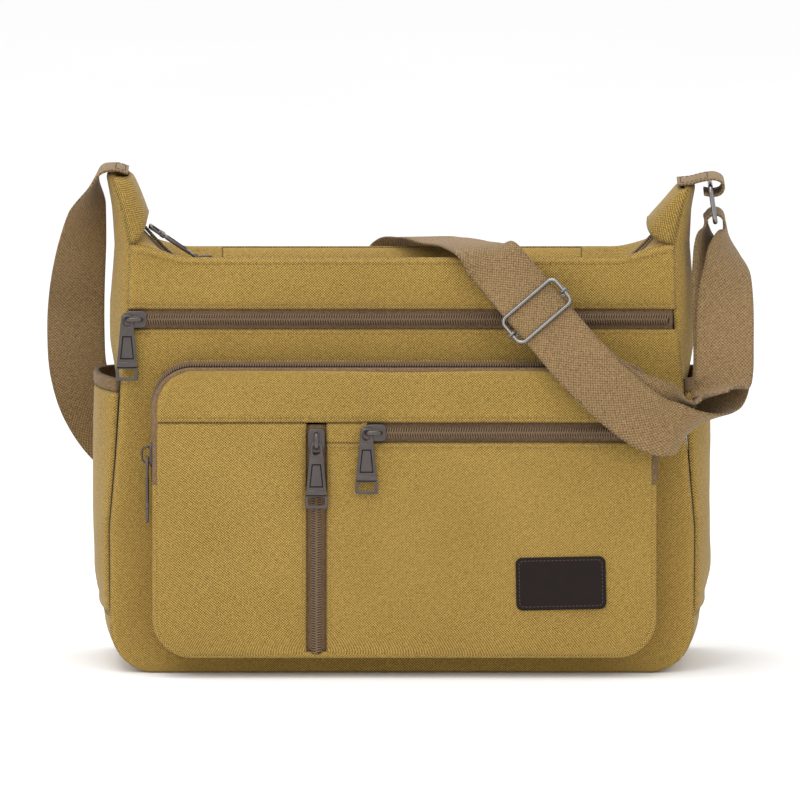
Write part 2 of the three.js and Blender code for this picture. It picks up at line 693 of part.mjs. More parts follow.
// The upright zip: the slider is turned to run along Z.
const panelSlider = add("panel_zip_slider", sliderGeometry, "metal", front);
panelSlider.position.set(PANEL_ZIP_X, -POCKET_FACE + 0.5, PANEL_SLIDER_HEIGHT);
panelSlider.rotation.y = -Math.PI / 2;
const panelPull = add("panel_zip_pull", pullGeometry, "metal", front);
panelPull.position.set(PANEL_ZIP_X, -POCKET_FACE + 0.5 - PULL_STANDOFF, PANEL_SLIDER_HEIGHT + IN_LINE);

// The pocket's own zip: its slider sits on the left wall, facing -X.
const wallFrame = new THREE.Group();
const wallX = POCKET_X - rimAt(channelMiddle).halfWidth;
wallFrame.position.set(wallX + 0.75, -channelMiddle, POCKET_SLIDER_HEIGHT);
wallFrame.rotation.z = -Math.PI / 2;
front.add(wallFrame);
const pocketSlider = add("pocket_zip_slider", sliderGeometry, "metal", wallFrame);
pocketSlider.rotation.y = -Math.PI / 2;
const pocketPull = add("pocket_zip_pull", pullGeometry, "metal", wallFrame);
pocketPull.position.set(0, -PULL_STANDOFF, IN_LINE);

// The mouth's zip: its slider faces up, and its pull is laid back up the slope to the left wing.
const mouthFrame = new THREE.Group();
mouthFrame.position.set(MOUTH_SLIDER_X, 0, MOUTH_ZIP_HEIGHT);
mouthFrame.rotation.x = -Math.PI / 2;
bag.add(mouthFrame);
add("mouth_slider", sliderGeometry, "metal", mouthFrame);
const mouthPull = add("mouth_pull", pullGeometry, "metal", mouthFrame);
mouthPull.position.set(IN_LINE, -PULL_STANDOFF, 0);
mouthPull.rotation.set(0, Math.PI / 2, 0);
mouthPull.rotateX(-MOUTH_PULL_SLOPE);

// ---- Strap ------------------------------------------------------------------------------------------

// A ribbon through points on its centre line, each with the direction of its width.
function ribbon(points, steps, thickness = WEBBING.depth) {
  const places = points.map(([x, y, z]) => new THREE.Vector3(x, y, z));
  const widths = points.map((p) => new THREE.Vector3(p[3], p[4], p[5]));
  const centre = new THREE.CatmullRomCurve3(places, false, "centripetal");
  const width = new THREE.CatmullRomCurve3(widths, false, "centripetal");
  const half = WEBBING.width / 2;
  return sheet(steps, 1, (u, v, w) => {
    const middle = centre.getPoint(u);
    const tangent = centre.getTangent(u);
    const across = width.getPoint(u);
    across.addScaledVector(tangent, -across.dot(tangent)).normalize();
    const normal = new THREE.Vector3().crossVectors(tangent, across);
    middle.addScaledVector(across, (2 * v - 1) * half);
    middle.addScaledVector(normal, (w - 0.5) * thickness);
    return middle.toArray();
  });
}

// The strap runs from its sewn end on the left peak, down behind the bag, over the mouth, through the adjuster
// and up to the ring on the right peak. Each row is a point on the centre line and the direction of the width.
const STRAP_ROUTE = [
  [-170, 0, 307.6, 0, 1, 0],
  [-178, 0, 309.6, 0, 1, 0],
  [-186.5, 0, 308, 0, 1, 0],
  [-191.5, 1, 300, 0.1, 1, 0],
  [-195.5, 4, 284, 0.6, 0.8, 0],
  [-199.5, 11, 258, 0.84, 0.54, 0],
  [-202.5, 24, 230, 0.95, 0.3, 0],
  [-203.5, 38, 200, 1, 0.1, 0],
  [-202, 52, 174, 0.97, 0.1, 0.2],
  [-195, 62, 150, 0.85, 0.1, 0.5],
  [-180, 67, 128, 0.7, 0.1, 0.7],
  [-155, 68, 112, 0.5, 0.05, 0.86],
  [-125, 66, 108, 0.1, 0, 1],
  [-95, 63, 120, -0.3, 0, 0.95],
  [-65, 58, 150, -0.65, 0, 0.75],
  [-42, 53, 185, -0.75, 0, 0.65],
  [-22, 48, 218, -0.8, 0, 0.6],
  [-4, 44, 247, -0.85, -0.2, 0.45],
  [10, 33, 260, -0.75, -0.6, 0.1],
  [26, 12, 261.6, -0.72, -0.69, 0],
  [39, -8, 262.2, -0.76, -0.65, 0],
  [50, -28.6, 260.8, -0.87, -0.47, -0.14],
];
const STRAIGHT_START = new THREE.Vector3(60, -37.5, 252.3);
const STRAIGHT_END = new THREE.Vector3(111, -70.5, 196);
const STRAIGHT_WIDTH = [-0.72, -0.1, -0.69];
const straightPoint = (t) => STRAIGHT_START.clone().lerp(STRAIGHT_END, t).toArray();
const STRAP_LOOP = [
  [137, -80, 172, -0.72, -0.05, -0.69],
  [158, -83, 158.5, -0.77, 0, -0.64],
  [174, -80, 156.5, -0.83, 0, -0.56],
  [186, -71, 159.5, -0.87, 0, -0.49],
  [193.5, -60, 166, -0.92, 0, -0.38],
  [197, -50, 175, -0.97, 0, -0.22],
  [198.5, -41, 187, -1, 0, -0.05],
  [198.8, -34, 200, -1, 0, 0],
  [198.5, -27, 213, -1, -0.05, 0],
  [197.5, -19, 229, -0.96, -0.28, 0],
  [195, -10, 246, -0.8, -0.6, 0],
  [191, -3.5, 261, -0.45, -0.89, 0],
  [189, -0.5, 270, -0.15, -0.99, 0],
];

const ringGroup = new THREE.Group();
ringGroup.position.set(RING.x, 0, RING.z);
ringGroup.rotation.y = -RING.tilt;
bag.add(ringGroup);
const ringShape = frameShape(RING.width / 2, RING.height / 2, 5, RING.wire);
const ringBody = plate(ringShape, -RING.wire / 2, RING.wire / 2, 1.2);
ringBody.rotateZ(Math.PI / 2);
ringBody.translate(0, 0, -RING.height / 2 + RING.wire / 2);
add("strap_ring", ringBody, "steel", ringGroup);

// The strap's turn over the ring's lower bar.
const barDrop = RING.height - RING.wire;
const TURN = {
  x: RING.x + barDrop * Math.sin(RING.tilt),
  z: RING.z - barDrop * Math.cos(RING.tilt) - 1.1,
  radius: 5.8,
};
const turnPoints = [];
for (let i = 0; i <= 6; i += 1) {
  const a = (Math.PI * i) / 6;
  turnPoints.push([TURN.x - TURN.radius * Math.cos(a), 0, TURN.z + TURN.radius * Math.sin(a), 0, -1, 0]);
}
const straightRun = [0, 0.25, 0.5, 0.75, 1].map((t) => [...straightPoint(t), ...STRAIGHT_WIDTH]);
add("strap", ribbon([...STRAP_ROUTE, ...straightRun, ...STRAP_LOOP, ...turnPoints], 110), "webbing");

// The inner layer, from the ring back to the adjuster.
const RETURN_ROUTE = [
  [TURN.x + TURN.radius, 0, TURN.z - 2, 0, -1, 0],
  [200.6, -0.2, 269, -0.1, -0.99, 0],
  [201.5, -4, 260, -0.4, -0.9, 0],
  [202.5, -12.5, 247, -0.75, -0.65, 0],
  [201, -22, 230, -0.96, -0.28, 0],
  [200.5, -30.5, 214, -1, -0.05, 0],
  [200.3, -38, 201, -1, 0, 0],
  [200, -45.5, 189, -1, 0, -0.05],
  [198, -55, 179, -0.97, 0, -0.22],
  [191.5, -66, 176, -0.92, 0, -0.38],
  [182, -71.5, 172, -0.87, 0, -0.49],
  [170.5, -75.5, 167, -0.83, 0, -0.56],
  [154, -77, 170, -0.77, 0, -0.64],
  [136, -75.5, 177, -0.72, -0.06, -0.69],
];

const strapFall = STRAIGHT_END.clone().sub(STRAIGHT_START).normalize();
const strapAcross = new THREE.Vector3(...STRAIGHT_WIDTH).negate();
strapAcross.addScaledVector(strapFall, -strapAcross.dot(strapFall)).normalize();
const strapOut = new THREE.Vector3().crossVectors(strapFall, strapAcross).normalize();
const adjuster = new THREE.Group();
adjuster.matrixAutoUpdate = false;
adjuster.matrix.makeBasis(strapAcross, strapOut.clone().negate(), strapFall.clone().negate());
adjuster.matrix.setPosition(...straightPoint(ADJUSTER.along));
bag.add(adjuster);

const frameLift = WEBBING.depth / 2 + ADJUSTER.wire / 2 + 0.25;
const barLift = WEBBING.depth / 2 + GAP + FOLD + GAP + BAR.radius;
const wireAt = ADJUSTER.length / 2 - ADJUSTER.wire / 2;
const adjusterShape = frameShape(ADJUSTER.length / 2, ADJUSTER.height / 2, 5, ADJUSTER.wire);
const adjusterFrame = plate(adjusterShape, -ADJUSTER.wire / 2, ADJUSTER.wire / 2, 0.8);
adjusterFrame.translate(0, -frameLift, 0);
add("adjuster_frame", adjusterFrame, "steel", adjuster);

// The centre bar lies under the strap, and its ends wrap the frame's side wires so that it can slide on them.
function centreBar() {
  const bar = new THREE.CylinderGeometry(BAR.radius, BAR.radius, 2 * wireAt, 12);
  bar.rotateZ(Math.PI / 2);
  bar.translate(0, barLift, BAR.at);
  const pieces = [bar];
  for (const side of [-1, 1]) {
    const collar = new THREE.LatheGeometry(
      [[1.7, -1.7], [2.6, -1.7], [2.6, 1.7], [1.7, 1.7], [1.7, -1.7]].map((p) => new THREE.Vector2(...p)),
      16,
    );
    collar.rotateX(Math.PI / 2);
    collar.translate(side * wireAt, -frameLift, BAR.at);
    pieces.push(collar);
    const leg = box(
      side * wireAt - 1, side * wireAt + 1, -frameLift + 2.1, barLift + 1, BAR.at - 1.2, BAR.at + 1.2,
    );
    pieces.push(leg);
  }
  return join(...pieces);
}
add("adjuster_bar", centreBar(), "steel", adjuster);

// The strap's other end: folded round the centre bar and stitched to itself.
const foldRadius = BAR.radius + GAP;
function endFold() {
  const half = WEBBING.width / 2 - 0.6;
  const sleeve = new THREE.LatheGeometry(
    [[foldRadius, -half], [foldRadius + FOLD, -half], [foldRadius + FOLD, half], [foldRadius, half],
      [foldRadius, -half]].map(([r, h]) => new THREE.Vector2(r, h)),
    18,
  );
  sleeve.rotateZ(Math.PI / 2);
  const tail = box(-half, half, foldRadius - 0.3, foldRadius + FOLD - 0.1, -TAIL, 0);
  const body = join(sleeve, tail);
  body.translate(0, barLift, BAR.at);
  return body;
}
add("strap_end_fold", endFold(), "webbing", adjuster);

const tailFrame = adjuster.matrix;
const tailPoint = (fall) => new THREE.Vector3(0, barLift + foldRadius + 0.5, BAR.at - TAIL - fall)
  .applyMatrix4(tailFrame).toArray();
const returnEnd = [tailPoint(20), tailPoint(6)].map((p) => [...p, ...STRAIGHT_WIDTH]);
add("strap_return", ribbon([...RETURN_ROUTE, ...returnEnd], 60), "webbing");

// The tab of webbing sewn into the right peak that holds the ring.
const TAB_ROUTE = [
  [171, 0, 300.5, 0, 1, 0],
  [179, 0, 301.2, 0, 1, 0],
  [187, 0, 303.2, 0, 1, 0],
  [194, 0, 304, 0, 1, 0],
  [198.6, 0, 302, 0, 1, 0],
  [199.8, 0, 298.6, 0, 1, 0],
  [198, 0, 295, 0, 1, 0],
  [193.5, 0, 293.6, 0, 1, 0],
  [187.6, 0, 294.4, 0, 1, 0],
];
add("ring_tab", ribbon(TAB_ROUTE, 26), "webbing");

export default bag;
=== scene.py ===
"""A khaki canvas messenger bag: zipped mouth, zipped front panel, raised patch pocket, side pockets and strap.

Shapes are worked out in millimetres, in the frame of the CAD model, and turned into metres as meshes are made.
"""

import math
from bisect import bisect_right

import bmesh
import bpy
from mathutils import Matrix, Vector, noise


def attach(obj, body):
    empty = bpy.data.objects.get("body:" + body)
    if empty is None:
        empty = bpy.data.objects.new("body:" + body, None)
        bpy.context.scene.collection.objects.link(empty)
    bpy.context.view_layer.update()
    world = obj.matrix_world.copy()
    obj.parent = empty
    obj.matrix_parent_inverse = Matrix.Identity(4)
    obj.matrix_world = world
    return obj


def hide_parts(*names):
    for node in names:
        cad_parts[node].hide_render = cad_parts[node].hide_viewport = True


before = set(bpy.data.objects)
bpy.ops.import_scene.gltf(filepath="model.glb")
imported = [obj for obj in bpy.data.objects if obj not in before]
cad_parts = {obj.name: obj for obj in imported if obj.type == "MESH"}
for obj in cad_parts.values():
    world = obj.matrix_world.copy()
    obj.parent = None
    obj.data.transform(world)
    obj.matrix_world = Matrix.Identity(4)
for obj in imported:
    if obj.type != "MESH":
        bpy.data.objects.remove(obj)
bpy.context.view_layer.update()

MM = 0.001

# Body
BASE_HALF_DEPTH = 55
MOUTH_HALF_DEPTH = 28
PEAK_HALF_DEPTH = 19.5
MOUTH_HEIGHT = 258
MOUTH_STITCH = 254
TALLEST_PEAK = 306
CORNER_RADIUS = 28
FLAT_HALF_WIDTH = 153
SEAM_HEIGHT = 37
MOUTH_FLAT = 131
CANVAS = 2
GAP = 0.3
LEAN = (BASE_HALF_DEPTH - MOUTH_HALF_DEPTH) / MOUTH_HEIGHT
TILT = math.atan(LEAN)
SEAM = ((0, 181), (90, 181.5), (135, 177.5), (172, 175), (226, 170), (262, 169), (285, 174), (306, 181))
SWELL = ((0, 0), (37, 5.5), (52, 3), (68, 0), (165, 0), (200, 9), (226, 12), (262, 9.5), (306, 3))

# Zips
SLOT = 12.4
FRONT_ZIP = 219.5
PANEL_ZIP_X = -53
SLIP_ZIP = 150
SLIP_START = -24
YOKE = 156

# Patch pocket, as rounded rectangles: its foot on the panel and its face, whose top edge is rolled back
FACE_DEPTH = 23.6
FOOT_RIM = {"x": 1.5, "half": 156, "low": 11, "high": 195, "r": 24}
FACE_RIM = {"x": 1.5, "half": 154.4, "low": 12, "high": 188.5, "r": 23}
NECK_RIM = {"x": 1.5, "half": 156, "low": 11, "high": 176.5, "r": 24}
NECK_DEPTH = 5.7
ZIP_END = 121

# Mouth
MOUTH_ZIP = 245.5
MOUTH_CLIMB = 32
LIP_HALF = 111.7
MOUTH_END = 162

# Side pockets
SIDE_POCKET_X, SIDE_MOUTH, SIDE_DIP, BINDING = 190.6, 183, 1.5, 9

# Strap
WEBBING_WIDTH = 36
WEBBING_DEPTH = 1.7
RING_X, RING_Z, RING_TILT, RING_DROP = 191.5, 299, 0.14, 22

FRONT = Matrix.Translation((0, -BASE_HALF_DEPTH, 0)) @ Matrix.Rotation(-TILT, 4, "X")
BACK = Matrix.Translation((0, BASE_HALF_DEPTH, 0)) @ Matrix.Rotation(TILT, 4, "X")


# ---- Numbers -------------------------------------------------------------------------------------

def look_up(table, at):
    if at <= table[0][0]:
        return table[0][1]
    for (x0, y0), (x1, y1) in zip(table, table[1:]):
        if at <= x1:
            return y0 + (y1 - y0) * (at - x0) / (x1 - x0)
    return table[-1][1]


def mix(a, b, t):
    return a + (b - a) * t


def clamp(t):
    return min(max(t, 0.0), 1.0)


def smooth(t):
    t = clamp(t)
    return t * t * (3 - 2 * t)


def spread(low, high, step, *extra):
    """Values from low to high about a step apart, closer at both ends, with any extra ones between them."""
    count = max(2, round((high - low) / step))
    values = [mix(low, high, i / count) for i in range(count + 1)]
    for inset in (0.7, 1.6, 3.0):
        values += [low + inset, high - inset]
    values += extra
    kept = []
    for value in sorted(v for v in values if low <= v <= high):
        if not kept or value - kept[-1] > 0.25:
            kept.append(value)
    kept[-1] = high
    return kept


def half_depth(z):
    if z <= MOUTH_HEIGHT:
        return BASE_HALF_DEPTH - LEAN * z
    return mix(MOUTH_HALF_DEPTH, PEAK_HALF_DEPTH, (z - MOUTH_HEIGHT) / (TALLEST_PEAK - MOUTH_HEIGHT))


def outline(z, inset=0.0):
    if z >= CORNER_RADIUS:
        return look_up(SEAM, z) - inset
    drop = CORNER_RADIUS - z
    return FLAT_HALF_WIDTH + math.sqrt(max((CORNER_RADIUS - inset) ** 2 - drop * drop, 0))


def top_edge(x):
    return MOUTH_HEIGHT + 8 * smooth((abs(x) - MOUTH_FLAT) / 38)


def mouth_line(x):
    return MOUTH_ZIP - 1.9 + MOUTH_CLIMB * max((abs(x) - MOUTH_FLAT) / 34, 0) ** 1.3


# ---- Materials -----------------------------------------------------------------------------------

class Look:
    """A material's node tree, with short calls for its sums."""

    def __init__(self, name, roughness, metallic=0.0, specular=0.5, sheen=0.0, coat=0.0):
        self.material = bpy.data.materials.new(name)
        self.material.use_nodes = True
        self.tree = self.material.node_tree
        self.shader = self.tree.nodes["Principled BSDF"]
        values = {
            "Roughness": roughness,
            "Metallic": metallic,
            "Specular IOR Level": specular,
            "Sheen Weight": sheen,
            "Sheen Roughness": 0.45,
            "Coat Weight": coat,
            "Coat Roughness": 0.3,
        }
        for key, value in values.items():
            self.shader.inputs[key].default_value = value

    def node(self, kind, **inputs):
        made = self.tree.nodes.new(kind)
        for key, value in inputs.items():
            self.feed(made.inputs[key.replace("_", " ")], value)
        return made

    def feed(self, socket, value):
        if isinstance(value, bpy.types.NodeSocket):
            self.tree.links.new(value, socket)
        else:
            socket.default_value = value

    def sum(self, operation, a, b=0.0, c=0.0):
        made = self.tree.nodes.new("ShaderNodeMath")
        made.operation = operation
        for socket, value in zip(made.inputs, (a, b, c)):
            self.feed(socket, value)
        return made.outputs[0]

    def noise(self, vector, scale, detail=2.0, rough=0.5):
        made = self.node("ShaderNodeTexNoise", Vector=vector, Scale=scale, Detail=detail, Roughness=rough)
        return made.outputs["Fac"]

    def vector(self, x, y, z=0.0):
        return self.node("ShaderNodeCombineXYZ", X=x, Y=y, Z=z).outputs[0]

    def blend(self, factor, a, b):
        made = self.tree.nodes.new("ShaderNodeMix")
        made.data_type = "RGBA"
        for socket, value in ((made.inputs[0], factor), (made.inputs[6], a), (made.inputs[7], b)):
            self.feed(socket, value)
        return made.outputs[2]

    def finish(self, colour, height=None, distance=0.0002, strength=0.6, roughness=None):
        self.feed(self.shader.inputs["Base Color"], colour)
        if roughness is not None:
            self.feed(self.shader.inputs["Roughness"], roughness)
        if height is not None:
            bump = self.node("ShaderNodeBump", Height=height, Distance=distance, Strength=strength)
            self.feed(self.shader.inputs["Normal"], bump.outputs[0])
        return self.material


def shade(colour, factor):
    return (colour[0] * factor, colour[1] * factor, colour[2] * factor, 1.0)


def woven(name, colour, across, along, contrast, grain, sheen=0.15, depth=0.00025):
    """Woven cloth: warp and weft cross about every millimetre, each yarn a little thicker or paler."""
    look = Look(name, 0.88, specular=0.25, sheen=sheen)
    uv = look.node("ShaderNodeUVMap")
    uv.uv_map = "cloth"
    parts = look.node("ShaderNodeSeparateXYZ", Vector=uv.outputs[0])
    x, y = parts.outputs[0], parts.outputs[1]
    warp = look.sum("SINE", look.sum("MULTIPLY", x, math.pi / across))
    weft = look.sum("SINE", look.sum("MULTIPLY", y, math.pi / along))
    weave = look.sum("MULTIPLY_ADD", look.sum("MULTIPLY", warp, weft), 0.5, 0.5)
    stretch_x = look.vector(look.sum("MULTIPLY", x, 0.3), look.sum("MULTIPLY", y, 1.15))
    stretch_y = look.vector(look.sum("MULTIPLY", x, 1.15), look.sum("MULTIPLY", y, 0.26))
    slub = look.sum("ADD", look.noise(stretch_x, 1.0, 2.0, 0.6), look.noise(stretch_y, 1.0, 2.0, 0.6))
    speckle = look.noise(look.vector(look.sum("MULTIPLY", x, 0.85), y), 0.95, 2.0, 0.75)
    mottle = look.noise(look.vector(x, y), 0.022, 3.0, 0.55)
    tone = look.sum("MULTIPLY_ADD", look.sum("SUBTRACT", slub, 1.0), grain * 2.4, 0.5)
    tone = look.sum("MULTIPLY_ADD", look.sum("SUBTRACT", speckle, 0.5), grain * 4.2, tone)
    tone = look.sum("MULTIPLY_ADD", look.sum("SUBTRACT", weave, 0.5), contrast, tone)
    tone = look.sum("MULTIPLY_ADD", look.sum("SUBTRACT", mottle, 0.5), 0.34, tone)
    # Painted shade and highlight from the cloth pieces, with the webbing's small random tone, read from a point
    # attribute and added to the tone.
    painted_light_and_tone = look.tree.nodes.new("ShaderNodeAttribute")
    painted_light_and_tone.attribute_name = "painted_light_and_tone"
    tone = look.sum("MULTIPLY_ADD", painted_light_and_tone.outputs["Fac"], 0.8, tone)
    tone = look.sum("MINIMUM", look.sum("MAXIMUM", tone, 0.0), 1.0)
    base = look.blend(tone, shade(colour, 0.42), shade(colour, 1.66))
    height = look.sum("MULTIPLY_ADD", speckle, 0.4, weave)
    return look.finish(base, height, depth, 0.7)


def metal(name, colour, roughness, scuffs):
    look = Look(name, roughness, metallic=1.0)
    place = look.node("ShaderNodeTexCoord").outputs["Object"]
    fine = look.noise(place, 900.0, 3.0, 0.6)
    broad = look.noise(place, 120.0, 3.0, 0.6)
    rough = look.sum("MULTIPLY_ADD", broad, scuffs, roughness - scuffs / 2)
    base = look.blend(broad, shade(colour, 0.8), shade(colour, 1.2))
    return look.finish(base, fine, 0.00004, 0.35, rough)


def leather(name, colour):
    look = Look(name, 0.5, specular=0.16)
    place = look.node("ShaderNodeTexCoord").outputs["Object"]
    cells = look.node("ShaderNodeTexVoronoi", Vector=place, Scale=900.0)
    grain = look.sum("MINIMUM", look.sum("MULTIPLY", cells.outputs["Distance"], 1.6), 1.0)
    cloud = look.noise(place, 140.0, 4.0, 0.6)
    base = look.blend(cloud, shade(colour, 0.7), shade(colour, 1.5))
    rough = look.sum("MULTIPLY_ADD", cloud, 0.25, 0.4)
    height = look.sum("MULTIPLY_ADD", cloud, 0.6, grain)
    return look.finish(base, height, 0.0002, 0.6, rough)


def plain(name, colour, roughness, scale, depth):
    """Thread, nylon teeth or painted surfaces: one colour with a fine mottle."""
    look = Look(name, roughness, specular=0.4)
    place = look.node("ShaderNodeTexCoord").outputs["Object"]
    cloud = look.noise(place, scale, 3.0, 0.6)
    base = look.blend(cloud, shade(colour, 0.75), shade(colour, 1.25))
    return look.finish(base, cloud, depth, 0.5)


CANVAS_COLOUR = (0.286, 0.182, 0.042)
WEBBING_COLOUR = (0.22, 0.14, 0.062)
TAPE_COLOUR = (0.15, 0.093, 0.047)
LOOKS = {
    "canvas": woven("canvas", CANVAS_COLOUR, 0.86, 0.8, 1.9, 0.42),
    "webbing": woven("webbing", WEBBING_COLOUR, 1.02, 1.1, 0.75, 0.35, depth=0.0005),
    "tape": woven("tape", TAPE_COLOUR, 0.5, 0.9, 0.5, 0.3),
    "binding": woven("binding", (0.165, 0.102, 0.05), 0.5, 0.9, 0.45, 0.35),
    "lining": woven("lining", (0.05, 0.042, 0.032), 0.4, 0.4, 0.3, 0.3),
    "gunmetal": metal("gunmetal", (0.115, 0.1, 0.095), 0.36, 0.22),
    "nickel": metal("nickel", (0.24, 0.232, 0.228), 0.24, 0.16),
    # Near-black metal: painted shade for the grooves of the pulls.
    "blackened": metal("blackened", (0.022, 0.02, 0.019), 0.5, 0.2),
    "leather": leather("leather", (0.0105, 0.0058, 0.005)),
    "chain": plain("chain", (0.2, 0.125, 0.066), 0.42, 500.0, 0.00003),
    # Near-black core under the teeth: painted shade for the gaps between the loops.
    "painted_chain_gap_shade": plain("painted_chain_gap_shade", (0.035, 0.022, 0.014), 0.7, 500.0, 0.00003),
    "thread": plain("thread", (0.25, 0.155, 0.042), 0.8, 900.0, 0.00005),
    "dark_thread": plain("dark_thread", (0.075, 0.045, 0.032), 0.75, 900.0, 0.00005),
}


# ---- Meshes --------------------------------------------------------------------------------------

def make(name, points, faces, look, body, stands_for=(), matrix=None, uvs=None, painted_light_and_tone_values=None):
    """One piece from points in millimetres, riding on a body and standing for CAD nodes."""
    mesh = bpy.data.meshes.new(name)
    if matrix is not None:
        points = [matrix @ Vector(p) for p in points]
    mesh.from_pydata([Vector(p) * MM for p in points], [], faces)
    if uvs is not None:
        layer = mesh.uv_layers.new(name="cloth")
        flat = [value for loop in mesh.loops for value in uvs[loop.vertex_index]]
        layer.data.foreach_set("uv", flat)
        # Per point painted shade and highlight, with some random tone on the webbing, for the cloth looks.
        shading = mesh.attributes.new("painted_light_and_tone", "FLOAT", "POINT")
        shading.data.foreach_set("value", painted_light_and_tone_values or [0.0] * len(points))
    work = bmesh.new()
    work.from_mesh(mesh)
    bmesh.ops.recalc_face_normals(work, faces=work.faces)
    work.to_mesh(mesh)
    work.free()
    mesh.polygons.foreach_set("use_smooth", [True] * len(mesh.polygons))
    piece = bpy.data.objects.new(name, mesh)
    bpy.context.scene.collection.objects.link(piece)
    mesh.materials.append(LOOKS[look])
    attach(piece, body)
    if stands_for:
        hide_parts(*stands_for)
    return piece


class Cloth:
    """A sheet of cloth over a grid of two parameters, with thickness, rolled edges, grooves and wrinkles, and painted
    shade and highlight at its edges, grooves and puckers.
    """

    def __init__(self, us, vs, place, thickness, out, puff=0.0, wrinkle=0.6, roll=(1, 1, 1, 1),
                 grooves=(), seed=0.0):
        self.us, self.vs = us, vs
        base = [[Vector(place(u, v)) for v in vs] for u in us]
        nu, nv = len(us), len(vs)
        middle = nu // 2
        self.U = [[0.0] * nv for _ in us]
        self.V = [[0.0] * nv for _ in us]
        for j in range(nv):
            for i in range(middle + 1, nu):
                self.U[i][j] = self.U[i - 1][j] + (base[i][j] - base[i - 1][j]).length
            for i in range(middle - 1, -1, -1):
                self.U[i][j] = self.U[i + 1][j] - (base[i][j] - base[i + 1][j]).length
        for i in range(nu):
            for j in range(1, nv):
                self.V[i][j] = self.V[i][j - 1] + (base[i][j] - base[i][j - 1]).length
        self.normals = [[self.normal(base, i, j, out) for j in range(nv)] for i in range(nu)]
        self.points, self.painted_light_and_tone = [], []
        for i in range(nu):
            row, tones = [], []
            for j in range(nv):
                lift, tone = self.lift(i, j, base[i][j], puff, wrinkle, roll, grooves, seed)
                row.append(base[i][j] + self.normals[i][j] * lift)
                tones.append(tone)
            self.points.append(row)
            self.painted_light_and_tone.append(tones)
        self.thickness = thickness

    def normal(self, base, i, j, out):
        i0, i1 = max(i - 1, 0), min(i + 1, len(self.us) - 1)
        j0, j1 = max(j - 1, 0), min(j + 1, len(self.vs) - 1)
        n = (base[i1][j] - base[i0][j]).cross(base[i][j1] - base[i][j0])
        if n.length < 1e-9:
            return Vector(out).normalized()
        n.normalize()
        aim = Vector(out(self.us[i], self.vs[j])) if callable(out) else Vector(out)
        return n if n.dot(aim) > 0 else -n

    def lift(self, i, j, at, puff, wrinkle, roll, grooves, seed):
        """How far a point stands off the plain surface, and how much paler or darker it is painted: shade at rolled
        edges and in grooves, a highlight on each roll, and shading on puckers.
        """
        U, V = self.U, self.V
        near = (U[i][j] - U[0][j], U[-1][j] - U[i][j], V[i][j], V[i][-1] - V[i][j])
        inside = min(d if r else 99.0 for d, r in zip(near, roll))
        across = near[0] / max(near[0] + near[1], 1e-6)
        up = near[2] / max(near[2] + near[3], 1e-6)
        lift = puff * (math.sin(math.pi * across) ** 0.6) * (math.sin(math.pi * up) ** 0.6)
        flow = Vector((at.x, at.y * 1.3, at.z)) / 46 + Vector((seed, seed * 1.7, 0))
        lift += wrinkle * noise.noise(flow) * smooth(inside / 14)
        lift += wrinkle * 0.35 * noise.noise(flow * 2.7) * smooth(inside / 9)
        pucker = noise.noise(Vector((at.x + at.y, at.z, seed)) / 4.2)
        lift += 0.22 * pucker * math.exp(-((inside - 4) / 5) ** 2)
        # Painted shading of the puckers: paler where they stand out, darker where they sink.
        tone = 0.06 * pucker * math.exp(-inside / 6)
        for d, r in zip(near, roll):
            if r:
                lift -= 1.1 * r * (1 - smooth(d / 3.2)) ** 1.5
                # Painted shade where the edge rolls under, and a painted highlight on the crest of the roll.
                tone -= 0.34 * (1 - smooth(d / 1.3))
                tone += 0.09 * math.exp(-((d - 2.2) / 1.0) ** 2)
        for axis, value, depth in grooves:
            d = abs((self.us[i] if axis == "u" else self.vs[j]) - value)
            lift -= depth * math.exp(-((d / 0.9) ** 2))
            # Painted shade in the groove.
            tone -= 0.16 * math.exp(-((d / 0.8) ** 2))
        return lift, tone

    def at(self, u, v):
        """A point on the finished surface, and its normal, by the two parameters."""
        i = min(max(bisect_right(self.us, u) - 1, 0), len(self.us) - 2)
        j = min(max(bisect_right(self.vs, v) - 1, 0), len(self.vs) - 2)
        s = clamp((u - self.us[i]) / (self.us[i + 1] - self.us[i]))
        t = clamp((v - self.vs[j]) / (self.vs[j + 1] - self.vs[j]))
        found = []
        for grid in (self.points, self.normals):
            low = grid[i][j].lerp(grid[i + 1][j], s)
            high = grid[i][j + 1].lerp(grid[i + 1][j + 1], s)
            found.append(low.lerp(high, t))
        return found[0], found[1].normalized()

    def build(self, name, look, body, stands_for=()):
        nu, nv = len(self.us), len(self.vs)
        points, uvs, tones = [], [], []
        for layer in (0, 1):
            for i in range(nu):
                for j in range(nv):
                    rim = i in (0, nu - 1) or j in (0, nv - 1)
                    depth = self.thickness * (0.3 if rim else 0.0)
                    if layer:
                        depth = self.thickness * (0.75 if rim else 1.0)
                    points.append(self.points[i][j] - self.normals[i][j] * depth)
                    uvs.append((self.U[i][j] + 3000, self.V[i][j] + 3000))
                    tones.append(self.painted_light_and_tone[i][j])
        faces = []
        size = nu * nv
        for i in range(nu - 1):
            for j in range(nv - 1):
                a = i * nv + j
                faces.append((a, a + 1, a + nv + 1, a + nv))
                faces.append((size + a, size + a + nv, size + a + nv + 1, size + a + 1))
        border = [i * nv for i in range(nu)] + [(nu - 1) * nv + j for j in range(1, nv)]
        border += [i * nv + nv - 1 for i in range(nu - 2, -1, -1)] + [j for j in range(nv - 2, 0, -1)]
        for a, b in zip(border, border[1:] + border[:1]):
            faces.append((a, b, b + size, a + size))
        return make(name, points, faces, look, body, stands_for, uvs=uvs, painted_light_and_tone_values=tones)


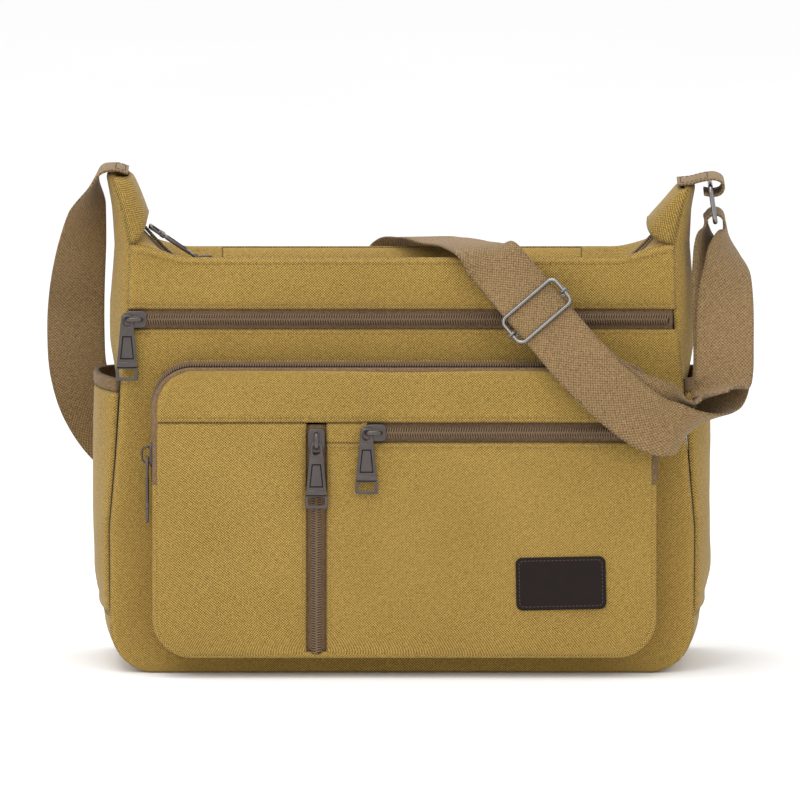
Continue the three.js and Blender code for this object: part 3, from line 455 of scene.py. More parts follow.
def stitches(name, lines, body, look="thread", pitch=2.75, size=0.27):
    """Rows of machine stitches, each a short thread that dives into the cloth at both ends."""
    points, faces = [], []
    sides = 5
    for line in lines:
        walked = [0.0]
        for (p, _), (q, _) in zip(line, line[1:]):
            walked.append(walked[-1] + (q - p).length)
        count = max(1, int(walked[-1] / pitch))
        gap = walked[-1] / count

        def along(s):
            k = min(max(bisect_right(walked, s) - 1, 0), len(line) - 2)
            t = clamp((s - walked[k]) / max(walked[k + 1] - walked[k], 1e-9))
            return line[k][0].lerp(line[k + 1][0], t), line[k][1].lerp(line[k + 1][1], t).normalized()

        for k in range(count):
            start, end = k * gap + gap * 0.12, (k + 1) * gap - gap * 0.12
            rings = []
            for t, rise, fat in ((0, -0.3, 0.6), (0.2, 0.12, 1.0), (0.8, 0.12, 1.0), (1, -0.3, 0.6)):
                p, n = along(mix(start, end, t))
                ahead, _ = along(mix(start, end, t) + 0.3)
                forward = ahead - p
                if forward.length < 1e-6:
                    forward = p - along(mix(start, end, t) - 0.3)[0]
                side = forward.normalized().cross(n)
                first = len(points)
                for m in range(sides):
                    a = 2 * math.pi * m / sides
                    points.append(p + n * (rise + size * fat * math.sin(a))
                                  + side * (size * 1.15 * fat * math.cos(a)))
                rings.append(first)
            for low, high in zip(rings, rings[1:]):
                for m in range(sides):
                    n2 = (m + 1) % sides
                    faces.append((low + m, low + n2, high + n2, high + m))
            faces.append(tuple(rings[0] + m for m in range(sides)))
            faces.append(tuple(rings[-1] + m for m in reversed(range(sides))))
    return make(name, points, faces, look, body)


def row(cloth, fixed, value, start, end, count=120):
    """A line of points and normals along one parameter of a cloth."""
    steps = [mix(start, end, k / count) for k in range(count + 1)]
    return [cloth.at(s, value) if fixed == "v" else cloth.at(value, s) for s in steps]


def tube(path, radius, closed=False, sides=12, ups=None):
    """Points and faces of a round tube along a path."""
    points, faces = [], []
    count = len(path)
    reference = Vector((0.13, 0.21, 0.97))
    for i, p in enumerate(path):
        before = path[(i - 1) % count] if closed or i else path[i]
        after = path[(i + 1) % count] if closed or i < count - 1 else path[i]
        forward = (after - before).normalized()
        if ups:
            reference = ups[i]
        side = forward.cross(reference).normalized()
        reference = side.cross(forward).normalized()
        thick = radius(i / (count - 1)) if callable(radius) else radius
        for m in range(sides):
            a = 2 * math.pi * m / sides
            points.append(p + side * (thick * math.cos(a)) + reference * (thick * math.sin(a)))
    for i in range(count if closed else count - 1):
        k = (i + 1) % count
        for m in range(sides):
            n = (m + 1) % sides
            faces.append((i * sides + m, i * sides + n, k * sides + n, k * sides + m))
    if not closed:
        faces.append(tuple(range(sides)))
        faces.append(tuple((count - 1) * sides + m for m in reversed(range(sides))))
    return points, faces


def together(parts):
    """Joins several lists of points and faces, each with an optional matrix."""
    points, faces = [], []
    for part in parts:
        at = len(points)
        moved = part[0] if len(part) < 3 else [part[2] @ Vector(p) for p in part[0]]
        points += moved
        faces += [tuple(at + k for k in face) for face in part[1]]
    return points, faces


def plate(outlines, depth, bevel, lift=0.0):
    """Points and faces of a flat plate in X and Z with bevelled edges, centred on Y = lift. The later outlines are
    its holes."""
    curve = bpy.data.curves.new("outline", "CURVE")
    curve.dimensions = "2D"
    curve.fill_mode = "BOTH"
    curve.extrude = depth / 2 - bevel
    curve.bevel_depth = bevel
    curve.bevel_resolution = 2
    curve.offset = -bevel
    for outline_points in outlines:
        spline = curve.splines.new("POLY")
        spline.points.add(len(outline_points) - 1)
        for point, (x, z) in zip(spline.points, outline_points):
            point.co = (x, z, 0, 1)
        spline.use_cyclic_u = True
    holder = bpy.data.objects.new("outline", curve)
    bpy.context.scene.collection.objects.link(holder)
    mesh = bpy.data.meshes.new_from_object(holder.evaluated_get(bpy.context.evaluated_depsgraph_get()))
    points = [Vector((v.co.x, lift - v.co.z, v.co.y)) for v in mesh.vertices]
    faces = [tuple(p.vertices) for p in mesh.polygons]
    bpy.data.objects.remove(holder)
    bpy.data.curves.remove(curve)
    bpy.data.meshes.remove(mesh)
    return points, faces


def rounded(x, z, half, tall, r, steps=5):
    """A rounded rectangle's points, anticlockwise."""
    found = []
    for sx, sz, start in ((1, -1, -90), (1, 1, 0), (-1, 1, 90), (-1, -1, 180)):
        for k in range(steps + 1):
            a = math.radians(start + 90 * k / steps)
            found.append((x + sx * (half - r) + r * math.cos(a), z + sz * (tall - r) + r * math.sin(a)))
    return found


def block(x0, x1, y0, y1, z0, z1, soft=0.25):
    """A small box with its long edges taken off."""
    points, faces = plate([rounded((x0 + x1) / 2, (z0 + z1) / 2, (x1 - x0) / 2, (z1 - z0) / 2, soft, 2)],
                          y1 - y0, min(soft, (y1 - y0) / 2 - 0.05), (y0 + y1) / 2)
    return points, faces


# ---- Camera, light and floor ---------------------------------------------------------------------

def add_camera(elevation, distance, aim, width):
    data = bpy.data.cameras.new("camera")
    data.sensor_width = 36
    data.lens = 36 * distance / width
    data.clip_end = 50
    camera = bpy.data.objects.new("camera", data)
    bpy.context.scene.collection.objects.link(camera)
    a = math.radians(elevation)
    away = Vector((0, -math.cos(a), math.sin(a)))
    camera.location = Vector(aim) + away * distance
    camera.rotation_mode = "QUATERNION"
    camera.rotation_quaternion = (-away).to_track_quat("-Z", "Y")
    bpy.context.scene.camera = camera


def add_light(name, place, aim, size, power):
    data = bpy.data.lights.new(name, "AREA")
    data.shape = "RECTANGLE"
    data.size, data.size_y = size
    data.energy = power
    light = bpy.data.objects.new(name, data)
    bpy.context.scene.collection.objects.link(light)
    light.location = place
    light.rotation_mode = "QUATERNION"
    light.rotation_quaternion = (Vector(aim) - Vector(place)).to_track_quat("-Z", "Y")


add_camera(8, 12.0, (-0.0012, -0.05, 0.1703), 0.496)
add_light("key", (-0.9, -1.6, 1.7), (0, 0, 0.12), (1.3, 1.3), 11)
add_light("fill", (1.5, -1.4, 0.9), (0, 0, 0.15), (1.2, 1.2), 3)
add_light("top", (-0.3, -0.1, 2.0), (0, 0, 0.1), (1.4, 1.2), 15)

world = bpy.data.worlds.new("studio")
world.use_nodes = True
world.node_tree.nodes["Background"].inputs[0].default_value = (1, 1, 1, 1)
world.node_tree.nodes["Background"].inputs[1].default_value = 1.0
bpy.context.scene.world = world
bpy.context.scene.view_settings.view_transform = "Standard"


def add_floor():
    reach, drop = 6.0, -0.0002
    mesh = bpy.data.meshes.new("floor")
    corners = [(-reach, -reach, drop), (reach, -reach, drop), (reach, reach, drop), (-reach, reach, drop)]
    mesh.from_pydata(corners, [], [(0, 1, 2, 3)])
    floor = bpy.data.objects.new("floor", mesh)
    bpy.context.scene.collection.objects.link(floor)
    look = Look("floor", 0.9, specular=0.1)
    place = look.node("ShaderNodeTexCoord").outputs["Object"]
    cloud = look.noise(place, 3.0, 2.0, 0.5)
    mesh.materials.append(look.finish(look.blend(cloud, (0.93, 0.93, 0.93, 1), (0.96, 0.96, 0.96, 1))))


add_floor()


# ---- Strap: the cords ----------------------------------------------------------------------------

def catmull(points, t):
    """A point on a centripetal Catmull-Rom curve through the points, at t from 0 to 1."""
    last = len(points) - 1
    at = last * t
    i = min(int(at), last - 1)
    w = at - i
    p1, p2 = points[i], points[i + 1]
    p0 = points[i - 1] if i > 0 else 2 * p1 - p2
    p3 = points[i + 2] if i + 2 <= last else 2 * p2 - p1
    d0, d1, d2 = ((b - a).length ** 0.5 for a, b in ((p0, p1), (p1, p2), (p2, p3)))
    d1 = d1 if d1 > 1e-4 else 1.0
    d0 = d0 if d0 > 1e-4 else d1
    d2 = d2 if d2 > 1e-4 else d1
    m1 = ((p1 - p0) / d0 - (p2 - p0) / (d0 + d1) + (p2 - p1) / d1) * d1
    m2 = ((p2 - p1) / d1 - (p3 - p1) / (d1 + d2) + (p3 - p2) / d2) * d1
    return p1 + m1 * w + (3 * (p2 - p1) - 2 * m1 - m2) * w * w + (2 * (p1 - p2) + m1 + m2) * w * w * w


def ribbon_frames(route, steps):
    """Points along the middle of a flat ribbon, with its width and thickness directions."""
    centre = [Vector(p[:3]) for p in route]
    width = [Vector(p[3:]) for p in route]
    frames = []
    for k in range(steps + 1):
        t = k / steps
        p = catmull(centre, t)
        forward = (catmull(centre, min(t + 1e-4, 1)) - catmull(centre, max(t - 1e-4, 0))).normalized()
        across = catmull(width, t)
        across = (across - forward * across.dot(forward)).normalized()
        frames.append((p, across, forward.cross(across)))
    return frames


def ribbon(name, route, steps, body, stands_for, half=WEBBING_WIDTH / 2, thick=WEBBING_DEPTH, look="webbing"):
    """Webbing along a route: a flat band with rounded selvedges and a slight crown."""
    frames = ribbon_frames(route, steps)
    rim = [(1.0, 0.0), (0.985, 0.3), (0.95, 0.44), (0.85, 0.47), (0.6, 0.5), (0.3, 0.5), (0.0, 0.5)]
    ring = rim + [(-a, o) for a, o in reversed(rim[:-1])]
    ring += [(a, -o) for a, o in reversed(ring[1:-1])]
    points, uvs, tones, faces = [], [], [], []
    walked, last = 0.0, frames[0][0]
    for p, across, out in frames:
        walked += (p - last).length
        last = p
        waver = 0.25 * noise.noise(p / 23)
        for a, o in ring:
            points.append(p + across * (a * half) + out * (o * thick + waver * (1 - a * a) * 0.4))
            uvs.append((a * half + 500, walked + (0.55 if o < 0 else 0)))
            # Painted shade darkens the rounded selvedges; a slight random tone runs along the band.
            tones.append(-0.25 * smooth((abs(a) - 0.9) / 0.1) + 0.05 * noise.noise(p / 30))
    n = len(ring)
    for i in range(len(frames) - 1):
        for m in range(n):
            k = (m + 1) % n
            faces.append((i * n + m, i * n + k, (i + 1) * n + k, (i + 1) * n + m))
    faces.append(tuple(range(n)))
    faces.append(tuple((len(frames) - 1) * n + m for m in reversed(range(n))))
    piece = make(name, points, faces, look, body, stands_for, uvs=uvs, painted_light_and_tone_values=tones)
    return piece, [f[0] for f in frames], frames


# Each row is a point on the strap's middle line and the direction of its width.
STRAP_ROUTE = [
    (-170, 0, 307.6, 0, 1, 0),
    (-178, 0, 309.6, 0, 1, 0),
    (-186.5, 0, 308, 0, 1, 0),
    (-191.5, 1, 300, 0.1, 1, 0),
    (-195.5, 4, 284, 0.6, 0.8, 0),
    (-199.5, 11, 258, 0.84, 0.54, 0),
    (-202.5, 24, 230, 0.95, 0.3, 0),
    (-203.5, 38, 200, 1, 0.1, 0),
    (-202, 52, 174, 0.97, 0.1, 0.2),
    (-195, 62, 150, 0.85, 0.1, 0.5),
    (-180, 67, 128, 0.7, 0.1, 0.7),
    (-155, 68, 112, 0.5, 0.05, 0.86),
    (-125, 66, 108, 0.1, 0, 1),
    (-95, 63, 120, -0.3, 0, 0.95),
    (-65, 58, 150, -0.65, 0, 0.75),
    (-42, 53, 185, -0.75, 0, 0.65),
    (-22, 48, 218, -0.8, 0, 0.6),
    (-4, 44, 247, -0.85, -0.2, 0.45),
    (10, 33, 260, -0.75, -0.6, 0.1),
    (26, 12, 261.6, -0.72, -0.69, 0),
    (39, -8, 262.2, -0.76, -0.65, 0),
    (50, -28.6, 260.8, -0.87, -0.47, -0.14),
]
STRAIGHT_START = Vector((60, -37.5, 252.3))
STRAIGHT_END = Vector((111, -70.5, 196))
STRAIGHT_WIDTH = (-0.72, -0.1, -0.69)
STRAP_LOOP = [
    (137, -80, 172, -0.72, -0.05, -0.69),
    (158, -83, 158.5, -0.77, 0, -0.64),
    (174, -80, 156.5, -0.83, 0, -0.56),
    (186, -71, 159.5, -0.87, 0, -0.49),
    (193.5, -60, 166, -0.92, 0, -0.38),
    (197, -50, 175, -0.97, 0, -0.22),
    (198.5, -41, 187, -1, 0, -0.05),
    (198.8, -34, 200, -1, 0, 0),
    (198.5, -27, 213, -1, -0.05, 0),
    (197.5, -19, 229, -0.96, -0.28, 0),
    (195, -10, 246, -0.8, -0.6, 0),
    (191, -3.5, 261, -0.45, -0.89, 0),
    (189, -0.5, 270, -0.15, -0.99, 0),
]
TURN_X = RING_X + RING_DROP * math.sin(RING_TILT)
TURN_Z = RING_Z - RING_DROP * math.cos(RING_TILT) - 1.1
TURN_RADIUS = 5.8
RETURN_ROUTE = [
    (TURN_X + TURN_RADIUS, 0, TURN_Z - 2, 0, -1, 0),
    (200.6, -0.2, 269, -0.1, -0.99, 0),
    (201.5, -4, 260, -0.4, -0.9, 0),
    (202.5, -12.5, 247, -0.75, -0.65, 0),
    (201, -22, 230, -0.96, -0.28, 0),
    (200.5, -30.5, 214, -1, -0.05, 0),
    (200.3, -38, 201, -1, 0, 0),
    (200, -45.5, 189, -1, 0, -0.05),
    (198, -55, 179, -0.97, 0, -0.22),
    (191.5, -66, 176, -0.92, 0, -0.38),
    (182, -71.5, 172, -0.87, 0, -0.49),
    (170.5, -75.5, 167, -0.83, 0, -0.56),
    (154, -77, 170, -0.77, 0, -0.64),
    (136, -75.5, 177, -0.72, -0.06, -0.69),
]
TAB_ROUTE = [
    (171, 0, 300.5, 0, 1, 0),
    (179, 0, 301.2, 0, 1, 0),
    (187, 0, 303.2, 0, 1, 0),
    (194, 0, 304, 0, 1, 0),
    (198.6, 0, 302, 0, 1, 0),
    (199.8, 0, 298.6, 0, 1, 0),
    (198, 0, 295, 0, 1, 0),
    (193.5, 0, 293.6, 0, 1, 0),
    (187.6, 0, 294.4, 0, 1, 0),
]

# The adjuster's own frame: X across the strap, Y into the bag, Z back up the strap.
FRAME_WIRE, FRAME_HALF, FRAME_TALL = 1.2, 22.3, 11.25
fall = (STRAIGHT_END - STRAIGHT_START).normalized()
strap_across = -Vector(STRAIGHT_WIDTH)
strap_across = (strap_across - fall * strap_across.dot(fall)).normalized()
strap_out = fall.cross(strap_across).normalized()
ADJUSTER = Matrix.Translation(STRAIGHT_START.lerp(STRAIGHT_END, 0.47)) @ Matrix(
    (strap_across, -strap_out, -fall)).transposed().to_4x4()
FRAME_LIFT = WEBBING_DEPTH / 2 + FRAME_WIRE + 0.25
FOLD = 1.5
BAR_LIFT = WEBBING_DEPTH / 2 + GAP + FOLD + GAP + 1.2
BAR_AT = -1.5
TAIL = 20
FOLD_RADIUS = 1.5


def tail_point(beyond):
    place = ADJUSTER @ Vector((0, BAR_LIFT + FOLD_RADIUS + 0.5, BAR_AT - TAIL - beyond))
    return (*place, *STRAIGHT_WIDTH)


straight = [(*STRAIGHT_START.lerp(STRAIGHT_END, t), *STRAIGHT_WIDTH) for t in (0, 0.25, 0.5, 0.75, 1)]
turn = []
for k in range(7):
    a = math.pi * k / 6
    turn.append((TURN_X - TURN_RADIUS * math.cos(a), 0, TURN_Z + TURN_RADIUS * math.sin(a), 0, -1, 0))
strap_route = STRAP_ROUTE + straight + STRAP_LOOP + turn
return_route = RETURN_ROUTE + [tail_point(20), tail_point(6)]

strap, strap_path, strap_frames = ribbon("strap_webbing", strap_route, 520, "bag", ["strap"])
inner, inner_path, _ = ribbon("strap_inner_layer", return_route, 220, "bag", ["strap_return"])
tab, _, tab_frames = ribbon("ring_tab_webbing", TAB_ROUTE, 60, "bag", ["ring_tab"])


def ring_path(half, tall, r, matrix, steps=8):
    return [matrix @ Vector((x, 0, z)) for x, z in rounded(0, 0, half, tall, r, steps)]


def adjuster():
    half = FRAME_HALF - FRAME_WIRE
    lifted = ADJUSTER @ Matrix.Translation((0, -FRAME_LIFT, 0))
    path = ring_path(half, FRAME_TALL - FRAME_WIRE, 4.2, lifted)
    points, faces = tube(path, FRAME_WIRE, closed=True, sides=14)
    make("adjuster_wire_frame", points, faces, "nickel", "adjuster", ["adjuster_frame"])
    parts = []
    for side in (-1, 1):
        wrap = []
        for k in range(23):
            a = math.radians(-60 + 300 * k / 22)
            wrap.append(Vector((side * (half - 2.1 * math.sin(a)), -FRAME_LIFT + 2.1 * math.cos(a), BAR_AT)))
        parts.append(tube([ADJUSTER @ p for p in wrap], 0.85, sides=9))
    bar = [ADJUSTER @ Vector((mix(-half, half, k / 12), BAR_LIFT, BAR_AT)) for k in range(13)]
    parts.append(tube(bar, 1.2, sides=12))
    for side in (-1, 1):
        leg = [ADJUSTER @ Vector((side * half, y, BAR_AT)) for y in (-FRAME_LIFT + 2.1, 0, BAR_LIFT)]
        parts.append(tube(leg, 1.0, sides=10))
    points, faces = together(parts)
    make("adjuster_centre_bar", points, faces, "nickel", "adjuster_bar", ["adjuster_bar"])


adjuster()


def end_fold():
    """The strap's end, folded round the centre bar and laid back down along itself, where the real strap is stitched.
    """
    half = WEBBING_WIDTH / 2 - 0.6
    profile = [(BAR_LIFT + FOLD_RADIUS + 0.3, BAR_AT - TAIL)]
    for k in range(15):
        a = math.radians(-10 + 200 * k / 14)
        profile.append((BAR_LIFT + (FOLD_RADIUS + 0.75) * math.cos(a),
                        BAR_AT + (FOLD_RADIUS + 0.75) * math.sin(a)))
    profile.append((BAR_LIFT - FOLD_RADIUS - 0.2, BAR_AT - 2.2))
    profile.append((BAR_LIFT + 0.9, BAR_AT - 5))
    profile.append((BAR_LIFT + FOLD_RADIUS - 0.4, BAR_AT - TAIL * 0.9))
    route = [(*(ADJUSTER @ Vector((0, y, z))), *STRAIGHT_WIDTH) for y, z in profile]
    ribbon("strap_end_loop", route, 90, "adjuster_bar", ["strap_end_fold"], half, 0.6)


end_fold()

ring_matrix = Matrix.Translation((RING_X, 0, RING_Z)) @ Matrix.Rotation(-RING_TILT, 4, "Y")
ring_centre = ring_matrix @ Matrix.Translation((0, 0, -RING_DROP / 2)) @ Matrix.Rotation(math.pi / 2, 4, "Z")
ring_points, ring_faces = tube(ring_path(20.5, RING_DROP / 2, 4, ring_centre), 1.5, closed=True, sides=14)
make("strap_ring_wire", ring_points, ring_faces, "nickel", "ring", ["strap_ring"])


def strap_stitching():
    """Boxes of stitching where the strap and the ring's tab are sewn to the wings."""
    lines = []
    for frames, span in ((strap_frames, (0.006, 0.021)), (tab_frames, (0.03, 0.3))):
        last = len(frames) - 1
        for at in (-14, 14):
            line = []
            for k in range(12):
                p, across, out = frames[round(mix(span[0], span[1], k / 11) * last)]
                n = out if out.z > 0 else -out
                line.append((p + across * at + n * (WEBBING_DEPTH / 2), n))
            lines.append(line)
        for t in span:
            p, across, out = frames[round(t * last)]
            n = out if out.z > 0 else -out
            lines.append([(p + across * mix(-14, 14, k / 11) + n * (WEBBING_DEPTH / 2), n)
                          for k in range(12)])
    stitches("strap_stitching", lines, "bag", "dark_thread")


strap_stitching()


# ---- Body panels ---------------------------------------------------------------------------------

slot_low, slot_high = FRONT_ZIP - SLOT / 2, FRONT_ZIP + SLOT / 2
outwards_front = FRONT.to_3x3() @ Vector((0, -1, 0))
outwards_back = BACK.to_3x3() @ Vector((0, 1, 0))
SPANS = [-1 + 2 * k / 120 for k in range(121)]
EDGE_SPANS = sorted(SPANS + [s * e for s in (-1, 1) for e in (0.997, 0.991)])
HEM = 2.6


def panel_place(matrix, low, high):
    def place(span, v):
        x = span * outline(v)
        rise = (top_edge(x) - MOUTH_HEIGHT) * clamp((v - low) / (high - low)) if high >= MOUTH_HEIGHT else 0
        return matrix @ Vector((x, 0, v + rise))
    return place


def low_rows(high, step, *extra):
    rows = [0.3, 0.9, 2, 3.5, 5.5, 8, 11, 14, 17.5, 21, 24.5, 28]
    return rows + [z for z in spread(28, high, step, *extra) if z > 28.5]


lower = Cloth(EDGE_SPANS, low_rows(slot_low, 4, slot_low - HEM, slot_low - HEM - 1),
              panel_place(FRONT, GAP, slot_low), CANVAS, outwards_front, wrinkle=0.5, roll=(1.7, 1.7, 1.2, 0.5),
              grooves=(("v", slot_low - HEM, 0.35),), seed=1.0)
lower.build("front_lower_canvas", "canvas", "bag", ["front_panel_lower"])
upper = Cloth(EDGE_SPANS, spread(slot_high, MOUTH_HEIGHT, 2.4, slot_high + HEM, slot_high + HEM + 1,
                                 MOUTH_STITCH - 0.5, MOUTH_STITCH + 0.5),
              panel_place(FRONT, slot_high, MOUTH_HEIGHT), CANVAS, outwards_front, puff=1.4, wrinkle=0.9,
              roll=(1.7, 1.7, 0.5, 1), grooves=(("v", slot_high + HEM, 0.35), ("v", MOUTH_STITCH, 0.3)), seed=2.0)
upper.build("front_upper_canvas", "canvas", "bag", ["front_panel_upper"])
rear = Cloth(EDGE_SPANS, low_rows(MOUTH_HEIGHT, 4, MOUTH_STITCH - 0.5, MOUTH_STITCH + 0.5),
             panel_place(BACK, GAP, MOUTH_HEIGHT), CANVAS, outwards_back, puff=1.5, wrinkle=1.3,
             roll=(1.7, 1.7, 1.2, 1), grooves=(("v", MOUTH_STITCH, 0.3),), seed=3.0)
rear.build("back_canvas", "canvas", "bag", ["back_panel"])

stitches("front_zip_stitching", [
    row(lower, "v", slot_low - HEM, -0.985, 0.985, 240),
    row(upper, "v", slot_high + HEM, -0.985, 0.985, 240),
    row(upper, "v", 254, -0.975, 0.975, 240),
    row(rear, "v", 254, -0.975, 0.975, 240),
], "bag")


def base_strip():
    straight = SEAM_HEIGHT - CORNER_RADIUS
    arc = math.pi / 2 * CORNER_RADIUS
    end = FLAT_HALF_WIDTH + arc + straight
    half = spread(0, FLAT_HALF_WIDTH, 6) + [FLAT_HALF_WIDTH + arc * k / 14 for k in range(1, 15)]
    half += [end - 3, end - 1, end]
    walk = [-s for s in reversed(half[1:])] + half

    def place(signed, v):
        s, side = abs(signed), math.copysign(1, signed)
        beyond = max(s - FLAT_HALF_WIDTH - arc, 0)
        if s <= FLAT_HALF_WIDTH:
            reach, level = s, 0.0
        else:
            a = min((s - FLAT_HALF_WIDTH) / CORNER_RADIUS, math.pi / 2)
            reach = FLAT_HALF_WIDTH + CORNER_RADIUS * math.sin(a)
            level = CORNER_RADIUS * (1 - math.cos(a)) + beyond
            reach += look_up(SWELL, level) * (1 - v * v)
        return Vector((side * reach, v * (half_depth(level) - CANVAS - GAP), level))

    def out(signed, v):
        return Vector((signed / 200, 0, -1 + clamp((abs(signed) - FLAT_HALF_WIDTH) / 40)))

    strip = Cloth(walk, [k / 24 for k in range(-24, 25)], place, CANVAS, out, wrinkle=0.0,
                  roll=(0.6, 0.6, 0, 0), grooves=(("u", -end + 2.6, 0.3), ("u", end - 2.6, 0.3)), seed=4.0)
    strip.build("base_canvas", "canvas", "bag", ["bottom_panel"])
    return strip, end


base, base_end = base_strip()


def side_place(side, bulge):
    def place(z, v):
        wide = look_up(SEAM, z) + look_up(SWELL, z) * (1 - v * v)
        fold = bulge * math.exp(-((v / 0.16) ** 2)) * smooth((z - 190) / 30) * (1 - smooth((z - 262) / 30))
        return Vector((side * (wide - fold), v * (half_depth(z) - CANVAS - GAP), z))
    return place


def wing_place(side, peak, low, high):
    foot = MOUTH_HEIGHT + 8 + GAP

    def place(u, v):
        a = math.pi * u
        round_by = math.sin(a) ** 0.6 if 0 < u < 1 else 0.0
        across = math.copysign(abs(math.cos(a)) ** 0.6, math.cos(a))
        bottom = mix(foot - 1.6, low[1] - 3, math.sin(a))
        z = mix(bottom, peak, v)
        inside = mix(low[0], high[0], (z - low[1]) / (high[1] - low[1]))
        outer = look_up(SEAM, z) - 0.5
        return Vector((side * mix(outer, inside, round_by), -across * half_depth(z), z))
    return place


def mouth_end_place(side):
    def place(x, v):
        edge = top_edge(x) - 0.8
        y = v * (min(half_depth(edge), MOUTH_HALF_DEPTH - 0.2) - CANVAS - GAP)
        return Vector((side * x, y, mix(mouth_line(x) - 0.4, edge, max(abs(v) - 0.25, 0) / 0.75)))
    return place


def side_pocket_place(side, lift):
    def place(z, v):
        dip = SIDE_DIP * v * v
        level = z - dip * smooth((z - 120) / 68)
        stand = min(1, math.sqrt(max(level - SEAM_HEIGHT - 0.5, 0) / 22))
        seam = look_up(SEAM, level) + GAP + 1.5
        lying = seam + look_up(SWELL, level) * (1 - v * v)
        x = max(lying, mix(seam, SIDE_POCKET_X, stand * (1 - abs(v) ** 2.5))) + lift
        return Vector((side * x, v * (half_depth(level) - CANVAS - GAP), level))
    return place


ACROSS = [k / 22 for k in range(-22, 23)]
SIDES = (("left", -1, 306, (158, 282), (168, 306)), ("right", 1, 299, (153.5, 278), (172, 299)))
for name, side, peak, low, high in SIDES:
    outwards = Vector((side, 0, 0))
    gusset = Cloth(spread(SEAM_HEIGHT + GAP, peak, 5), ACROSS, side_place(side, 0), CANVAS, outwards, wrinkle=1.0,
                   roll=(0.6, 0.6, 1.2, 1.2), seed=5.0 + side)
    gusset.build(f"side_canvas_{name}", "canvas", "bag", [f"side_panel_{name}"])
    us = [k / 64 for k in range(65)]
    fold = Cloth(us, [k / 14 for k in range(15)], wing_place(side, peak, low, high), CANVAS,
                 lambda u, v, side=side: (-side * math.sin(math.pi * u), -math.cos(math.pi * u), 0.3),
                 puff=1.0, wrinkle=0.9, roll=(0.9, 0.9, 0.6, 0.5), grooves=(("v", 0.09, 0.3),), seed=7.0 + side)
    fold.build(f"wing_canvas_{name}", "canvas", "bag", [f"wing_{name}"])
    scoop = Cloth(spread(LIP_HALF + GAP, MOUTH_END + 6, 3), [k / 20 for k in range(-20, 21)],
                  mouth_end_place(side), 1.2, (0, 0, 1), wrinkle=0.3, roll=(0, 0, 0.5, 0.5), seed=9.0 + side)
    scoop.build(f"mouth_end_canvas_{name}", "canvas", "bag", [f"mouth_end_{name}"])
    slip = Cloth(spread(SEAM_HEIGHT + 0.5, SIDE_MOUTH - BINDING, 4), ACROSS,
                 side_pocket_place(side, 0.7), 1.5, outwards, puff=0.8, wrinkle=0.9, roll=(0.8, 0.2, 1.2, 1.2), seed=11.0 + side)
    slip.build(f"side_pocket_canvas_{name}", "canvas", "bag", [f"side_pocket_{name}"])
    band = Cloth(spread(SIDE_MOUTH - BINDING + GAP, SIDE_MOUTH, 1), ACROSS,
                 side_pocket_place(side, 1.3), 2.8, outwards, wrinkle=0.1, roll=(0.5, 0.6, 0.8, 0.8), grooves=(("u", 175.6, 0.2),), seed=13.0)
    band.build(f"side_pocket_binding_tape_{name}", "binding", "bag", [f"side_pocket_binding_{name}"])
    stitches(f"side_stitching_{name}", [
        row(band, "u", 175.7, -0.94, 0.94, 40),
        row(fold, "v", 0.09, 0.05, 0.95, 90),
        row(base, "u", side * (base_end - 2.6), -0.96, 0.96, 40),
    ], "bag")


# ---- Zips ----------------------------------------------------------------------------------------

TOOTH_PITCH = 1.55


def chain(name, frames, body, stands_for, core=2.7, sides_used=(-1, 1)):
    """A coil chain along frames of (point, across, out): slanting nylon loops that mesh on the middle line."""
    walked = [0.0]
    for (p, _, _), (q, _, _) in zip(frames, frames[1:]):
        walked.append(walked[-1] + (q - p).length)

    def at(s):
        k = min(max(bisect_right(walked, s) - 1, 0), len(frames) - 2)
        t = clamp((s - walked[k]) / max(walked[k + 1] - walked[k], 1e-9))
        return [a.lerp(b, t) for a, b in zip(frames[k], frames[k + 1])]

    loop = ((3.0, -0.5, 0.1), (2.75, 0.45, 0.1), (0.5, 0.9, -0.08), (-0.35, 0.62, -0.12), (-0.5, -0.1, -0.12))
    points, faces = [], []
    for side in sides_used:
        s = TOOTH_PITCH * (0.5 if side < 0 else 1.0)
        while s < walked[-1] - 0.6:
            p, across, out = at(s)
            forward = (at(s + 0.2)[0] - at(s - 0.2)[0]).normalized()
            path = [p + across * (side * a) + out * o + forward * (f * 3) for a, o, f in loop]
            tooth = tube(path, 0.41, sides=5, ups=[out] * len(path))
            first = len(points)
            points += tooth[0]
            faces += [tuple(first + k for k in face) for face in tooth[1]]
            s += TOOTH_PITCH
    teeth = make(f"{name}_teeth", points, faces, "chain", body, stands_for)
    # The core under the teeth is near black: painted shade seen through the gaps between the loops.
    points, faces = [], []
    low, high = (-core, core) if len(sides_used) == 2 else sorted((0.15 * sides_used[0], core * sides_used[0]))
    section = ((low, -0.6), (low, 0.15), (low + 0.3, 0.4), (high - 0.3, 0.4), (high, 0.15), (high, -0.6))
    for p, across, out in frames:
        points += [p + across * a + out * o for a, o in section]
    for i in range(len(frames) - 1):
        for m in range(6):
            k = (m + 1) % 6
            faces.append((i * 6 + m, i * 6 + k, i * 6 + 6 + k, i * 6 + 6 + m))
    faces.append(tuple(range(6)))
    faces.append(tuple((len(frames) - 1) * 6 + m for m in reversed(range(6))))
    uvs = [(p.x + p.y, p.z) for p in points]
    make(f"{name}_core", points, faces, "painted_chain_gap_shade", body, uvs=uvs)
    return teeth


def line_frames(matrix, start, end, face, steps=60):
    """Frames along a straight chain lying on a leaning face."""
    turn3 = matrix.to_3x3()
    out = turn3 @ Vector((0, -1, 0))
    found = []
    for k in range(steps + 1):
        x, z = mix(start[0], end[0], k / steps), mix(start[1], end[1], k / steps)
        found.append((matrix @ Vector((x, face, z)), out))
    forward = (found[-1][0] - found[0][0]).normalized()
    return [(p, forward.cross(out).normalized(), out) for p, out in found]


